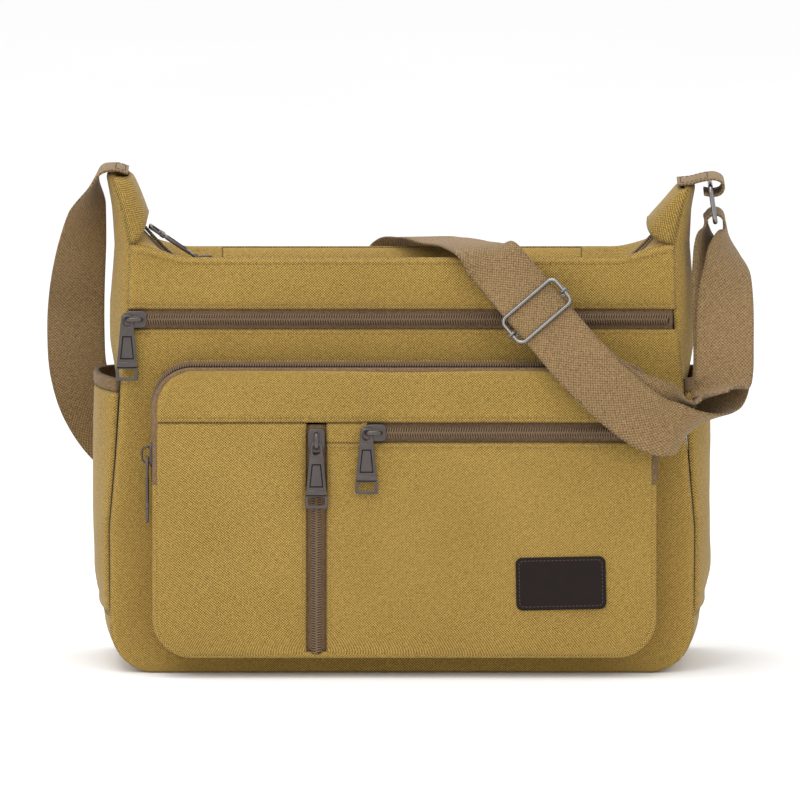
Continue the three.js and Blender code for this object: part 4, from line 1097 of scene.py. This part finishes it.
def tape(name, frames, half, body, stands_for, rise=1.7, floor=-2.6):
    """A zip's tape under its chain: up at the chain and down under the cloth on both sides."""
    offsets = [-half, -half + 1, -7, -5.8, -4.6, -3.4, -2.4, -1, 0, 1, 2.4, 3.4, 4.6, 5.8, 7, half - 1, half]
    offsets = sorted({o for o in offsets if -half <= o <= half})

    def place(i, a):
        p, across, out = frames[int(i)]
        drop = floor + rise * (1 - smooth((abs(a) - 2.6) / 2.8))
        return p + across * a + out * drop

    sheet = Cloth(list(range(len(frames))), offsets, place, 0.7, lambda i, a: frames[int(i)][2], wrinkle=0.0,
                  roll=(0, 0, 0, 0), seed=15.0)
    sheet.build(name, "tape", body, stands_for)


front_frames = line_frames(FRONT, (-166, FRONT_ZIP), (166, FRONT_ZIP), 0)
chain("front_zip", front_frames, "bag", ["front_zip_chain"])
tape("front_zip_tape_cloth", line_frames(FRONT, (-168, FRONT_ZIP), (168, FRONT_ZIP), 0),
     10.5, "bag", ["front_zip_tape"])
SLIP_END = 153.5
slip_frames = line_frames(FRONT, (SLIP_START + 2, SLIP_ZIP), (SLIP_END, SLIP_ZIP), -FACE_DEPTH)
chain("slip_zip", slip_frames, "bag", ["slip_zip_chain"])
tape("slip_zip_tape_cloth",
     line_frames(FRONT, (SLIP_START - 4, SLIP_ZIP), (SLIP_END, SLIP_ZIP), -FACE_DEPTH),
     8, "bag", ["slip_zip_tape"])
panel_frames = line_frames(FRONT, (PANEL_ZIP_X, 13), (PANEL_ZIP_X, YOKE - 4), -FACE_DEPTH)
chain("panel_zip", panel_frames, "bag", ["panel_zip_chain"])
tape("panel_zip_tape_cloth",
     line_frames(FRONT, (PANEL_ZIP_X, 14.6), (PANEL_ZIP_X, YOKE - 1), -FACE_DEPTH),
     8, "bag", ["panel_zip_tape"])


def rim_point(rim, k):
    """A point on a rounded rectangle by a walk of nine stretches: from the middle of the foot up the right side, over
    the top and down the left side. Also the direction outwards."""
    part = min(int(k), 8)
    t = k - part
    x0, half, r = rim["x"], rim["half"], rim["r"]
    low, high = rim["low"], rim["high"]
    if part in (1, 3, 5, 7):
        start = {1: -90, 3: 0, 5: 90, 7: 180}[part]
        sx, sz = {1: (1, -1), 3: (1, 1), 5: (-1, 1), 7: (-1, -1)}[part]
        cx, cz = x0 + sx * (half - r), (low + r) if sz < 0 else (high - r)
        a = math.radians(start + 90 * t)
        return cx + r * math.cos(a), cz + r * math.sin(a), math.cos(a), math.sin(a)
    if part == 0:
        return x0 + (half - r) * t, low, 0, -1
    if part == 2:
        return x0 + half, mix(low + r, high - r, t), 1, 0
    if part == 4:
        return x0 + mix(half - r, r - half, t), high, 0, 1
    if part == 6:
        return x0 - half, mix(high - r, low + r, t), -1, 0
    return x0 - mix(half - r, 0, t), low, 0, -1


def rim_walk(start, end, straight_steps=26, corner_steps=12):
    """Stations round the rim between two places on the walk."""
    stops = {start, end}
    for part in range(9):
        steps = corner_steps if part % 2 else straight_steps
        stops |= {part + k / steps for k in range(steps + 1)}
    return sorted(k for k in stops if start <= k <= end)


run_up = FOOT_RIM["high"] - FOOT_RIM["low"] - 2 * FOOT_RIM["r"]
zip_share = (ZIP_END - FOOT_RIM["low"] - FOOT_RIM["r"]) / run_up
ZIP_FROM, ZIP_TO = 2 + zip_share, 7 - zip_share
WALL_DEPTH, CHANNEL_DEPTH = 7.4, 19.3
ZIP_RISE = 0.7


def pocket_side(depth, k, outset=0.0):
    """A point on the pocket's side wall: a low seam on the panel, out to the foot's outline and on to the face's."""
    t = smooth((depth - 3) / (FACE_DEPTH - 4))
    ax, az, nx, nz = rim_point(FOOT_RIM, k)
    bx, bz, _, _ = rim_point(FACE_RIM, k)
    _, neck, _, _ = rim_point(NECK_RIM, k)
    z = mix(neck, mix(az, bz, t), smooth((depth - NECK_DEPTH + 0.3) / 0.7))
    return FRONT @ Vector((mix(ax, bx, t) + nx * outset, -depth, z + nz * outset))


def rim_out(k, forward=0.0):
    _, _, nx, nz = rim_point(FOOT_RIM, k)
    return (FRONT.to_3x3() @ Vector((nx, -forward, nz))).normalized()


def band(name, near, far, start, end, look, stands_for, outset=0.0, thickness=2.0, rows=10, roll=(0, 0, 0.6, 0.6),
         grooves=(), wrinkle=0.35, forward=0.2):
    depths = [mix(near, far, k / rows) for k in range(rows + 1)]
    sheet = Cloth(rim_walk(start, end), depths, lambda k, d: pocket_side(d, k, outset), thickness,
                  lambda k, d: rim_out(k, forward), wrinkle=wrinkle, roll=roll, grooves=grooves, seed=17.0)
    sheet.build(name, look, "bag", stands_for)
    return sheet


wall = band("pocket_wall_canvas", GAP, WALL_DEPTH, 0, 9, "canvas", ["pocket_wall"], thickness=1.4,
            rows=24, roll=(0, 0, 0, 0.3), grooves=(("v", 6.8, 0.2),), wrinkle=0.0, forward=-0.2)
foot = band("pocket_foot_canvas_right", WALL_DEPTH + GAP, CHANNEL_DEPTH, 0, ZIP_FROM, "canvas",
            ["pocket_foot_gusset"])
band("pocket_foot_canvas_left", WALL_DEPTH + GAP, CHANNEL_DEPTH, ZIP_TO, 9, "canvas", [])
band("pocket_zip_tape_cloth", WALL_DEPTH - 1, CHANNEL_DEPTH + 1.4, ZIP_FROM, ZIP_TO, "tape",
     ["pocket_zip_tape"], outset=-1.6, thickness=0.8, roll=(0, 0, 0, 0), wrinkle=0.0)


def pocket_chain():
    """The curved zip's chain, on the slope between the wall and the face."""
    middle = (WALL_DEPTH + GAP + CHANNEL_DEPTH) / 2
    found = []
    for k in rim_walk(ZIP_FROM + 0.004, ZIP_TO - 0.004, 60, 24):
        p = pocket_side(middle, k, ZIP_RISE)
        slope = pocket_side(middle + 1, k, ZIP_RISE) - pocket_side(middle - 1, k, ZIP_RISE)
        ahead = pocket_side(middle, min(k + 0.01, 8.99), ZIP_RISE) - p
        out = slope.cross(ahead).normalized()
        if out.dot(rim_out(k)) < 0:
            out = -out
        found.append((p, slope.normalized(), out))
    return found


chain("pocket_zip", pocket_chain(), "bag", ["pocket_zip_chain"])


def pocket_piping():
    """A covered cord round the edge of the face: brown beside the zip, canvas below it."""
    for name, start, end, look, stands_for in (("zip", ZIP_FROM, ZIP_TO, "binding", ["pocket_piping"]),
                                               ("foot_right", 0, ZIP_FROM, "canvas", []),
                                               ("foot_left", ZIP_TO, 9, "canvas", [])):
        path, ups = [], []
        for k in rim_walk(start, end, 40, 16):
            path.append(pocket_side(CHANNEL_DEPTH + 2.0, k, -0.3))
            ups.append(rim_out(k, 1.0))
        points, faces = tube(path, 2.1, sides=12, ups=ups)
        walked, uvs = 0.0, []
        for i in range(len(path)):
            walked += (path[i] - path[max(i - 1, 0)]).length
            uvs += [(walked, m * 0.9) for m in range(12)]
        make(f"pocket_piping_{name}", points, faces, look, "bag", stands_for, uvs=uvs)


pocket_piping()


def face_edges(z, rim=FACE_RIM):
    """The left and right ends of the pocket face at a height."""
    r = rim["r"]
    inner = rim["half"] - r
    if z < rim["low"] + r:
        reach = inner + math.sqrt(max(r * r - (rim["low"] + r - z) ** 2, 0))
    elif z > rim["high"] - r:
        reach = inner + math.sqrt(max(r * r - (z - rim["high"] + r) ** 2, 0))
    else:
        reach = rim["half"]
    return rim["x"] - reach, rim["x"] + reach


def face(name, left, right, low, high, puff, stands_for, roll, grooves=(), seed=0.0, rows=(), lip=0.0):
    """A piece of the pocket's face between two upright and two level lines, inside the rounded outline."""
    def place(u, z):
        x0, x1 = face_edges(z)
        x0 = x0 if left is None else max(x0, left)
        x1 = x1 if right is None else min(x1, right)
        return FRONT @ Vector((mix(x0, x1, u), -FACE_DEPTH - lip * smooth((low + 9 - z) / 6), z))

    columns = sorted({k / 100 for k in range(101)} | {0.004, 0.996})
    sheet = Cloth(columns, rows or spread(low, high, 3), place, 2.0, outwards_front, puff=puff,
                  wrinkle=0.8, roll=roll, grooves=grooves, seed=seed)
    sheet.build(name, "canvas", "bag", stands_for)
    return sheet


def corner_rows(low, high, step, *extra):
    """Rows of a face piece, close together on the round corners of its foot or top."""
    values = set(spread(low, high, step, *extra))
    for edge, way in ((FACE_RIM["low"], 1), (FACE_RIM["high"], -1)):
        values |= {edge + way * d for d in (0, 0.2, 0.7, 1.5, 2.6, 4, 6, 8.5, 12, 16, 20, 23)}
    kept = []
    for value in sorted(v for v in values if low <= v <= high):
        if not kept or value - kept[-1] > 0.15:
            kept.append(value)
    return kept


half_slot = SLOT / 2
yoke = face("pocket_yoke_canvas", None, None, YOKE + GAP, FACE_RIM["high"], 1.6, ["pocket_yoke"], (1, 1, 0.3, 1),
            (("v", YOKE + 3, 0.3),), 19.0, corner_rows(YOKE + GAP, FACE_RIM["high"], 2.4, YOKE + 3, YOKE + 4), 0.7)
left_face = face("pocket_face_canvas_left", None, PANEL_ZIP_X - half_slot, FACE_RIM["low"], YOKE, 2.6,
                 ["pocket_face_left"], (1, 0.5, 1, 0.3), (), 21.0, corner_rows(FACE_RIM["low"], YOKE, 3))
right_low = SLIP_ZIP - half_slot
right_face = face("pocket_face_canvas_right", PANEL_ZIP_X + half_slot, None, FACE_RIM["low"], right_low, 2.4,
                  ["pocket_face_right"], (0.5, 1, 1, 0.4), (("v", right_low - 3, 0.3),), 23.0,
                  corner_rows(FACE_RIM["low"], right_low, 3, right_low - 3, right_low - 2))
face("pocket_face_canvas_corner", PANEL_ZIP_X + half_slot, SLIP_START, right_low, YOKE, 0.2, [], (0.4, 0.4, 0, 0.3),
     (), 25.0, spread(right_low, YOKE, 2))


def span_of(x, z, left, right):
    """The parameter across a face piece at a distance from the middle of the bag."""
    x0, x1 = face_edges(z)
    x0 = x0 if left is None else max(x0, left)
    x1 = x1 if right is None else min(x1, right)
    return (x - x0) / (x1 - x0)


def face_line(sheet, x, low, high, left, right):
    return [sheet.at(span_of(x, z, left, right), z) for z in spread(low, high, 3)]


left_stop, right_start = PANEL_ZIP_X - half_slot, PANEL_ZIP_X + half_slot
stitches("pocket_stitching", [
    row(yoke, "v", YOKE + 3, 0.008, 0.992, 200),
    row(right_face, "v", right_low - 3, 0.01, 0.988, 160),
    face_line(left_face, left_stop - 2.4, 15, YOKE - 2, None, left_stop),
    face_line(right_face, right_start + 2.4, 15, right_low - 1, right_start, None),
    [wall.at(k, 6.8) for k in rim_walk(0.02, 8.98, 60, 20)],
], "bag")


def zip_garage(name, x, z0, z1):
    """The short stop tape at the start of the level zip."""
    points, faces = block(x - 1.6, x + 1.6, -FACE_DEPTH - 0.3, -FACE_DEPTH + 1.2, z0, z1, 0.5)
    make(name, points, faces, "canvas", "bag", matrix=FRONT, uvs=[(p[0], p[2]) for p in points])


zip_garage("slip_zip_stop", SLIP_START + 0.9, SLIP_ZIP - half_slot, SLIP_ZIP + half_slot)


# ---- Mouth ---------------------------------------------------------------------------------------

def lip_height(distance):
    slope = (MOUTH_HEIGHT - 0.8 - mouth_line(0)) / (MOUTH_HALF_DEPTH - CANVAS - GAP - 3.6)
    return mouth_line(0) + slope * max(distance - 3.6, 0)


for name, side in (("front", -1), ("back", 1)):
    lip_body = f"lip_{name}"
    lip = Cloth(spread(-LIP_HALF, LIP_HALF, 3), spread(13, 24.2, 1.5, 15, 16),
                lambda x, d, side=side: Vector((x, side * d, lip_height(d))), 1.2, (0, 0, 1),
                puff=0.4, wrinkle=0.5, roll=(0, 0, 0.5, 0.4), grooves=(("v", 15.4, 0.25),), seed=27.0 + side)
    lip.build(f"mouth_lip_canvas_{name}", "canvas", lip_body, [f"mouth_lip_{name}"])
    web = Cloth(spread(-LIP_HALF, LIP_HALF, 3), spread(3.5, 12.7, 1.2),
                lambda x, d, side=side: Vector((x, side * d, lip_height(d))), 1.0, (0, 0, 1), wrinkle=0.1,
                roll=(0, 0, 0, 0), seed=29.0)
    web.build(f"mouth_tape_cloth_{name}", "tape", lip_body, [f"mouth_tape_{name}"])
    stitches(f"mouth_stitching_{name}", [row(lip, "v", 15.4, -LIP_HALF + 1, LIP_HALF - 1)], lip_body)
    level = mouth_line(0) + 2.4
    frames = [(Vector((mix(-LIP_HALF, LIP_HALF, k / 60), 0, level)), Vector((0, 1, 0)), Vector((0, 0, 1)))
              for k in range(61)]
    chain(f"mouth_zip_{name}", frames, lip_body, [f"mouth_teeth_{name}"], sides_used=(side,))

for name, side in (("left", -1), ("right", 1)):
    found = []
    for k in range(41):
        x = mix(LIP_HALF + GAP, MOUTH_END, k / 40)
        p = Vector((side * x, 0, mouth_line(x) + 2.4))
        ahead = Vector((side * (x + 0.5), 0, mouth_line(x + 0.5) + 2.4)) - p
        found.append((p, Vector((0, 1, 0)), ahead.cross(Vector((0, side, 0))).normalized()))
    chain(f"mouth_end_zip_{name}", found, "bag", [f"mouth_end_chain_{name}"])
    flank = Cloth([LIP_HALF + GAP + k for k in range(0, 51)], [k / 8 * 6.5 for k in range(-8, 9)],
                  lambda x, a, side=side: Vector((side * x, a, mouth_line(x) + 0.25 - 0.02 * a * a)),
                  0.6, (0, 0, 1), wrinkle=0.0, roll=(0, 0, 0, 0), seed=31.0)
    flank.build(f"mouth_end_tape_{name}", "tape", "bag")


# ---- Sliders and pulls ---------------------------------------------------------------------------

def arch(reach, low, high, width, thick):
    """The slider's bridge: a flat bar bent over the pull's eye, widest at its crown."""
    points, faces = [], []
    count = 20
    for k in range(count + 1):
        t = k / count
        a = math.pi * t
        x = -reach * math.copysign(abs(math.cos(a)) ** 0.55, math.cos(a))
        y = -(low + (high - low) * math.sin(a) ** 0.55)
        nx, ny = -math.cos(a), -math.sin(a)
        wide = width * (0.85 + 0.35 * math.sin(a))
        for m in range(10):
            b = 2 * math.pi * m / 10
            points.append(Vector((x + nx * thick * math.cos(b), y + ny * thick * math.cos(b),
                                  wide * math.sin(b))))
    for k in range(count):
        for m in range(10):
            n = (m + 1) % 10
            faces.append((k * 10 + m, k * 10 + n, k * 10 + 10 + n, k * 10 + 10 + m))
    faces.append(tuple(range(10)))
    faces.append(tuple(count * 10 + m for m in reversed(range(10))))
    return points, faces


def slider_parts():
    """A cast slider: a shield-shaped cover, flanges down both sides of the chain and a bridge. It runs along X."""
    shield = []
    for x, z in ((-7.5, 2.2), (-6.6, 3.9), (-3.4, 5.1), (0, 5.2), (4, 5.2), (6.2, 4.9), (7.3, 3.8), (7.5, 2.0)):
        shield.append((x, z))
    shield = [(x, -z) for x, z in shield] + [(x, z) for x, z in reversed(shield)]
    spine = rounded(0.3, 0, 6.2, 1.9, 1.6, 3)
    return together([
        plate([shield], 1.5, 0.5, -2.45),
        plate([spine], 0.9, 0.35, -3.3),
        block(-3, 6, -1.9, 0.9, 3.95, 5.2, 0.3),
        block(-3, 6, -1.9, 0.9, -5.2, -3.95, 0.3),
        arch(4.9, 3.0, 8.4, 1.15, 0.62),
    ])


def pull_parts():
    """A cast pull: an eye, a tapering plate with a sunk panel, a step and an open loop at its foot."""
    def half(z):
        return 3.7 + 3.5 * (0.9 - z) / 40.9

    body = [(-2.6, 0.9), (-3.5, 0.2), (-half(-6) + 0.1, -6), (-half(-28), -28), (-half(-31.5) - 0.1, -31.5)]
    body += [(-half(-38.5), -38.5), (-half(-39) + 1.4, -40)]
    ring = body + [(-x, z) for x, z in reversed(body)]
    eye = rounded(0, -3.8, 2.4, 3.0, 2.1, 4)
    loop = rounded(0, -35.4, 5.1, 2.6, 0.9, 3)
    rim = [(-3.3, -9), (-half(-27.5) + 0.6, -27.5), (half(-27.5) - 0.6, -27.5), (3.3, -9)]
    sunk = [(-2.3, -13), (-3.8, -26), (3.8, -26), (2.3, -13)]
    step = [(-half(-28.5), -28.5), (-half(-31.5) - 0.1, -31.5), (half(-31.5) + 0.1, -31.5), (half(-28.5), -28.5)]
    frame_outer = rounded(0, -35.7, 6.9, 4.3, 1.5, 3)
    return together([
        plate([ring, eye, loop], 1.2, 0.3),
        plate([rim, sunk], 1.8, 0.25),
        plate([step], 2.5, 0.35),
        plate([frame_outer, loop], 1.8, 0.4),
        plate([rounded(0, -3.6, 3.8, 4.4, 3.4, 6), eye], 1.8, 0.4),
    ])


def groove_parts():
    """Painted shade in a pull's grooves, as dark lines: round its sunk panel and above its loop, on both faces."""
    outer = [(-2.9, -12.3), (-4.4, -26.8), (4.4, -26.8), (2.9, -12.3)]
    inner = [(-2.2, -13.1), (-3.6, -26), (3.6, -26), (2.2, -13.1)]
    line = [(-6.2, -31.7), (-6.3, -32.3), (6.3, -32.3), (6.2, -31.7)]
    return together([plate([outer, inner], 2.0, 0.05), plate([line], 2.0, 0.05)])


slider_shape, pull_shape, groove_shape = slider_parts(), pull_parts(), groove_parts()
quarter_y = Matrix.Rotation(-math.pi / 2, 4, "Y")


def zip_head(name, body, slider_at, pull_at):
    make(f"{name}_slider_cast", *slider_shape, "gunmetal", f"{body}_slider", [f"{name}_slider"], slider_at)
    make(f"{name}_pull_cast", *pull_shape, "gunmetal", f"{body}_pull", [f"{name}_pull"], pull_at)
    # Dark lines of painted shade for the pull's grooves.
    make(f"{name}_pull_grooves", *groove_shape, "blackened", f"{body}_pull", [], pull_at)


def on_front(x, y, z):
    return FRONT @ Matrix.Translation((x, y, z))


SLIDER_SINK, EYE_RISE = 0.5, 4.5
EYE_ALONG, EYE_ACROSS = -4.55, 2.1
level_heads = (
    ("front_zip", "front", -166, FRONT_ZIP, 0),
    ("slip_zip", "slip", -17.4, SLIP_ZIP, -FACE_DEPTH),
)
for name, body, x, z, depth in level_heads:
    zip_head(name, body, on_front(x, depth + SLIDER_SINK, z),
             on_front(x + EYE_ALONG, depth - EYE_RISE, z + EYE_ACROSS))
zip_head("panel_zip", "panel", on_front(PANEL_ZIP_X, -FACE_DEPTH + SLIDER_SINK, 145) @ quarter_y,
         on_front(PANEL_ZIP_X, -FACE_DEPTH - EYE_RISE, 143))
channel_middle = (WALL_DEPTH + GAP + CHANNEL_DEPTH) / 2
wall_half = mix(FOOT_RIM["half"], FACE_RIM["half"], smooth((channel_middle - 3) / (FACE_DEPTH - 4)))
wall_frame = (on_front(FOOT_RIM["x"] - wall_half + 0.75, -channel_middle, 136)
              @ Matrix.Rotation(-math.pi / 2, 4, "Z"))
zip_head("pocket_zip", "pocket", wall_frame @ quarter_y, wall_frame @ Matrix.Translation((0, -5, -2)))
mouth_frame = Matrix.Translation((-122, 0, MOUTH_ZIP)) @ Matrix.Rotation(-math.pi / 2, 4, "X")
laid_back = (Matrix.Translation((-2, -5, 0)) @ Matrix.Rotation(math.pi / 2, 4, "Y")
             @ Matrix.Rotation(math.radians(-34), 4, "X"))
zip_head("mouth", "mouth", mouth_frame, mouth_frame @ laid_back)


# ---- Leather patch -------------------------------------------------------------------------------

PATCH_X, PATCH_Z = 98.5, 56.7
PATCH_TURN = -0.021


def leather_patch():
    """A plain leather patch with a softened edge, pressed and stitched on to the pocket's face."""
    centre, _ = right_face.at(span_of(PATCH_X, PATCH_Z, right_start, None), PATCH_Z)
    local = FRONT.inverted() @ centre
    matrix = on_front(PATCH_X, local.y - 0.6, PATCH_Z) @ Matrix.Rotation(PATCH_TURN, 4, "Y")
    points, faces = plate([rounded(0, 0, 27.9, 16.4, 4, 8)], 1.7, 0.6)
    make("patch_leather", points, faces, "leather", "bag", ["leather_patch"], matrix)
    out = matrix.to_3x3() @ Vector((0, -1, 0))
    edge = [(matrix @ Vector((x, -0.85, z)), out) for x, z in rounded(0, 0, 25.7, 14.2, 2.6, 6)]
    stitches("patch_stitching", [edge + edge[:1]], "bag", "dark_thread", 2.4, 0.24)


leather_patch()


# ---- Lining --------------------------------------------------------------------------------------

for node in ("lining", "front_pocket_pouch", "slip_zip_pouch", "panel_zip_pouch"):
    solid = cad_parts[node]
    solid.data.materials.clear()
    solid.data.materials.append(LOOKS["lining"])
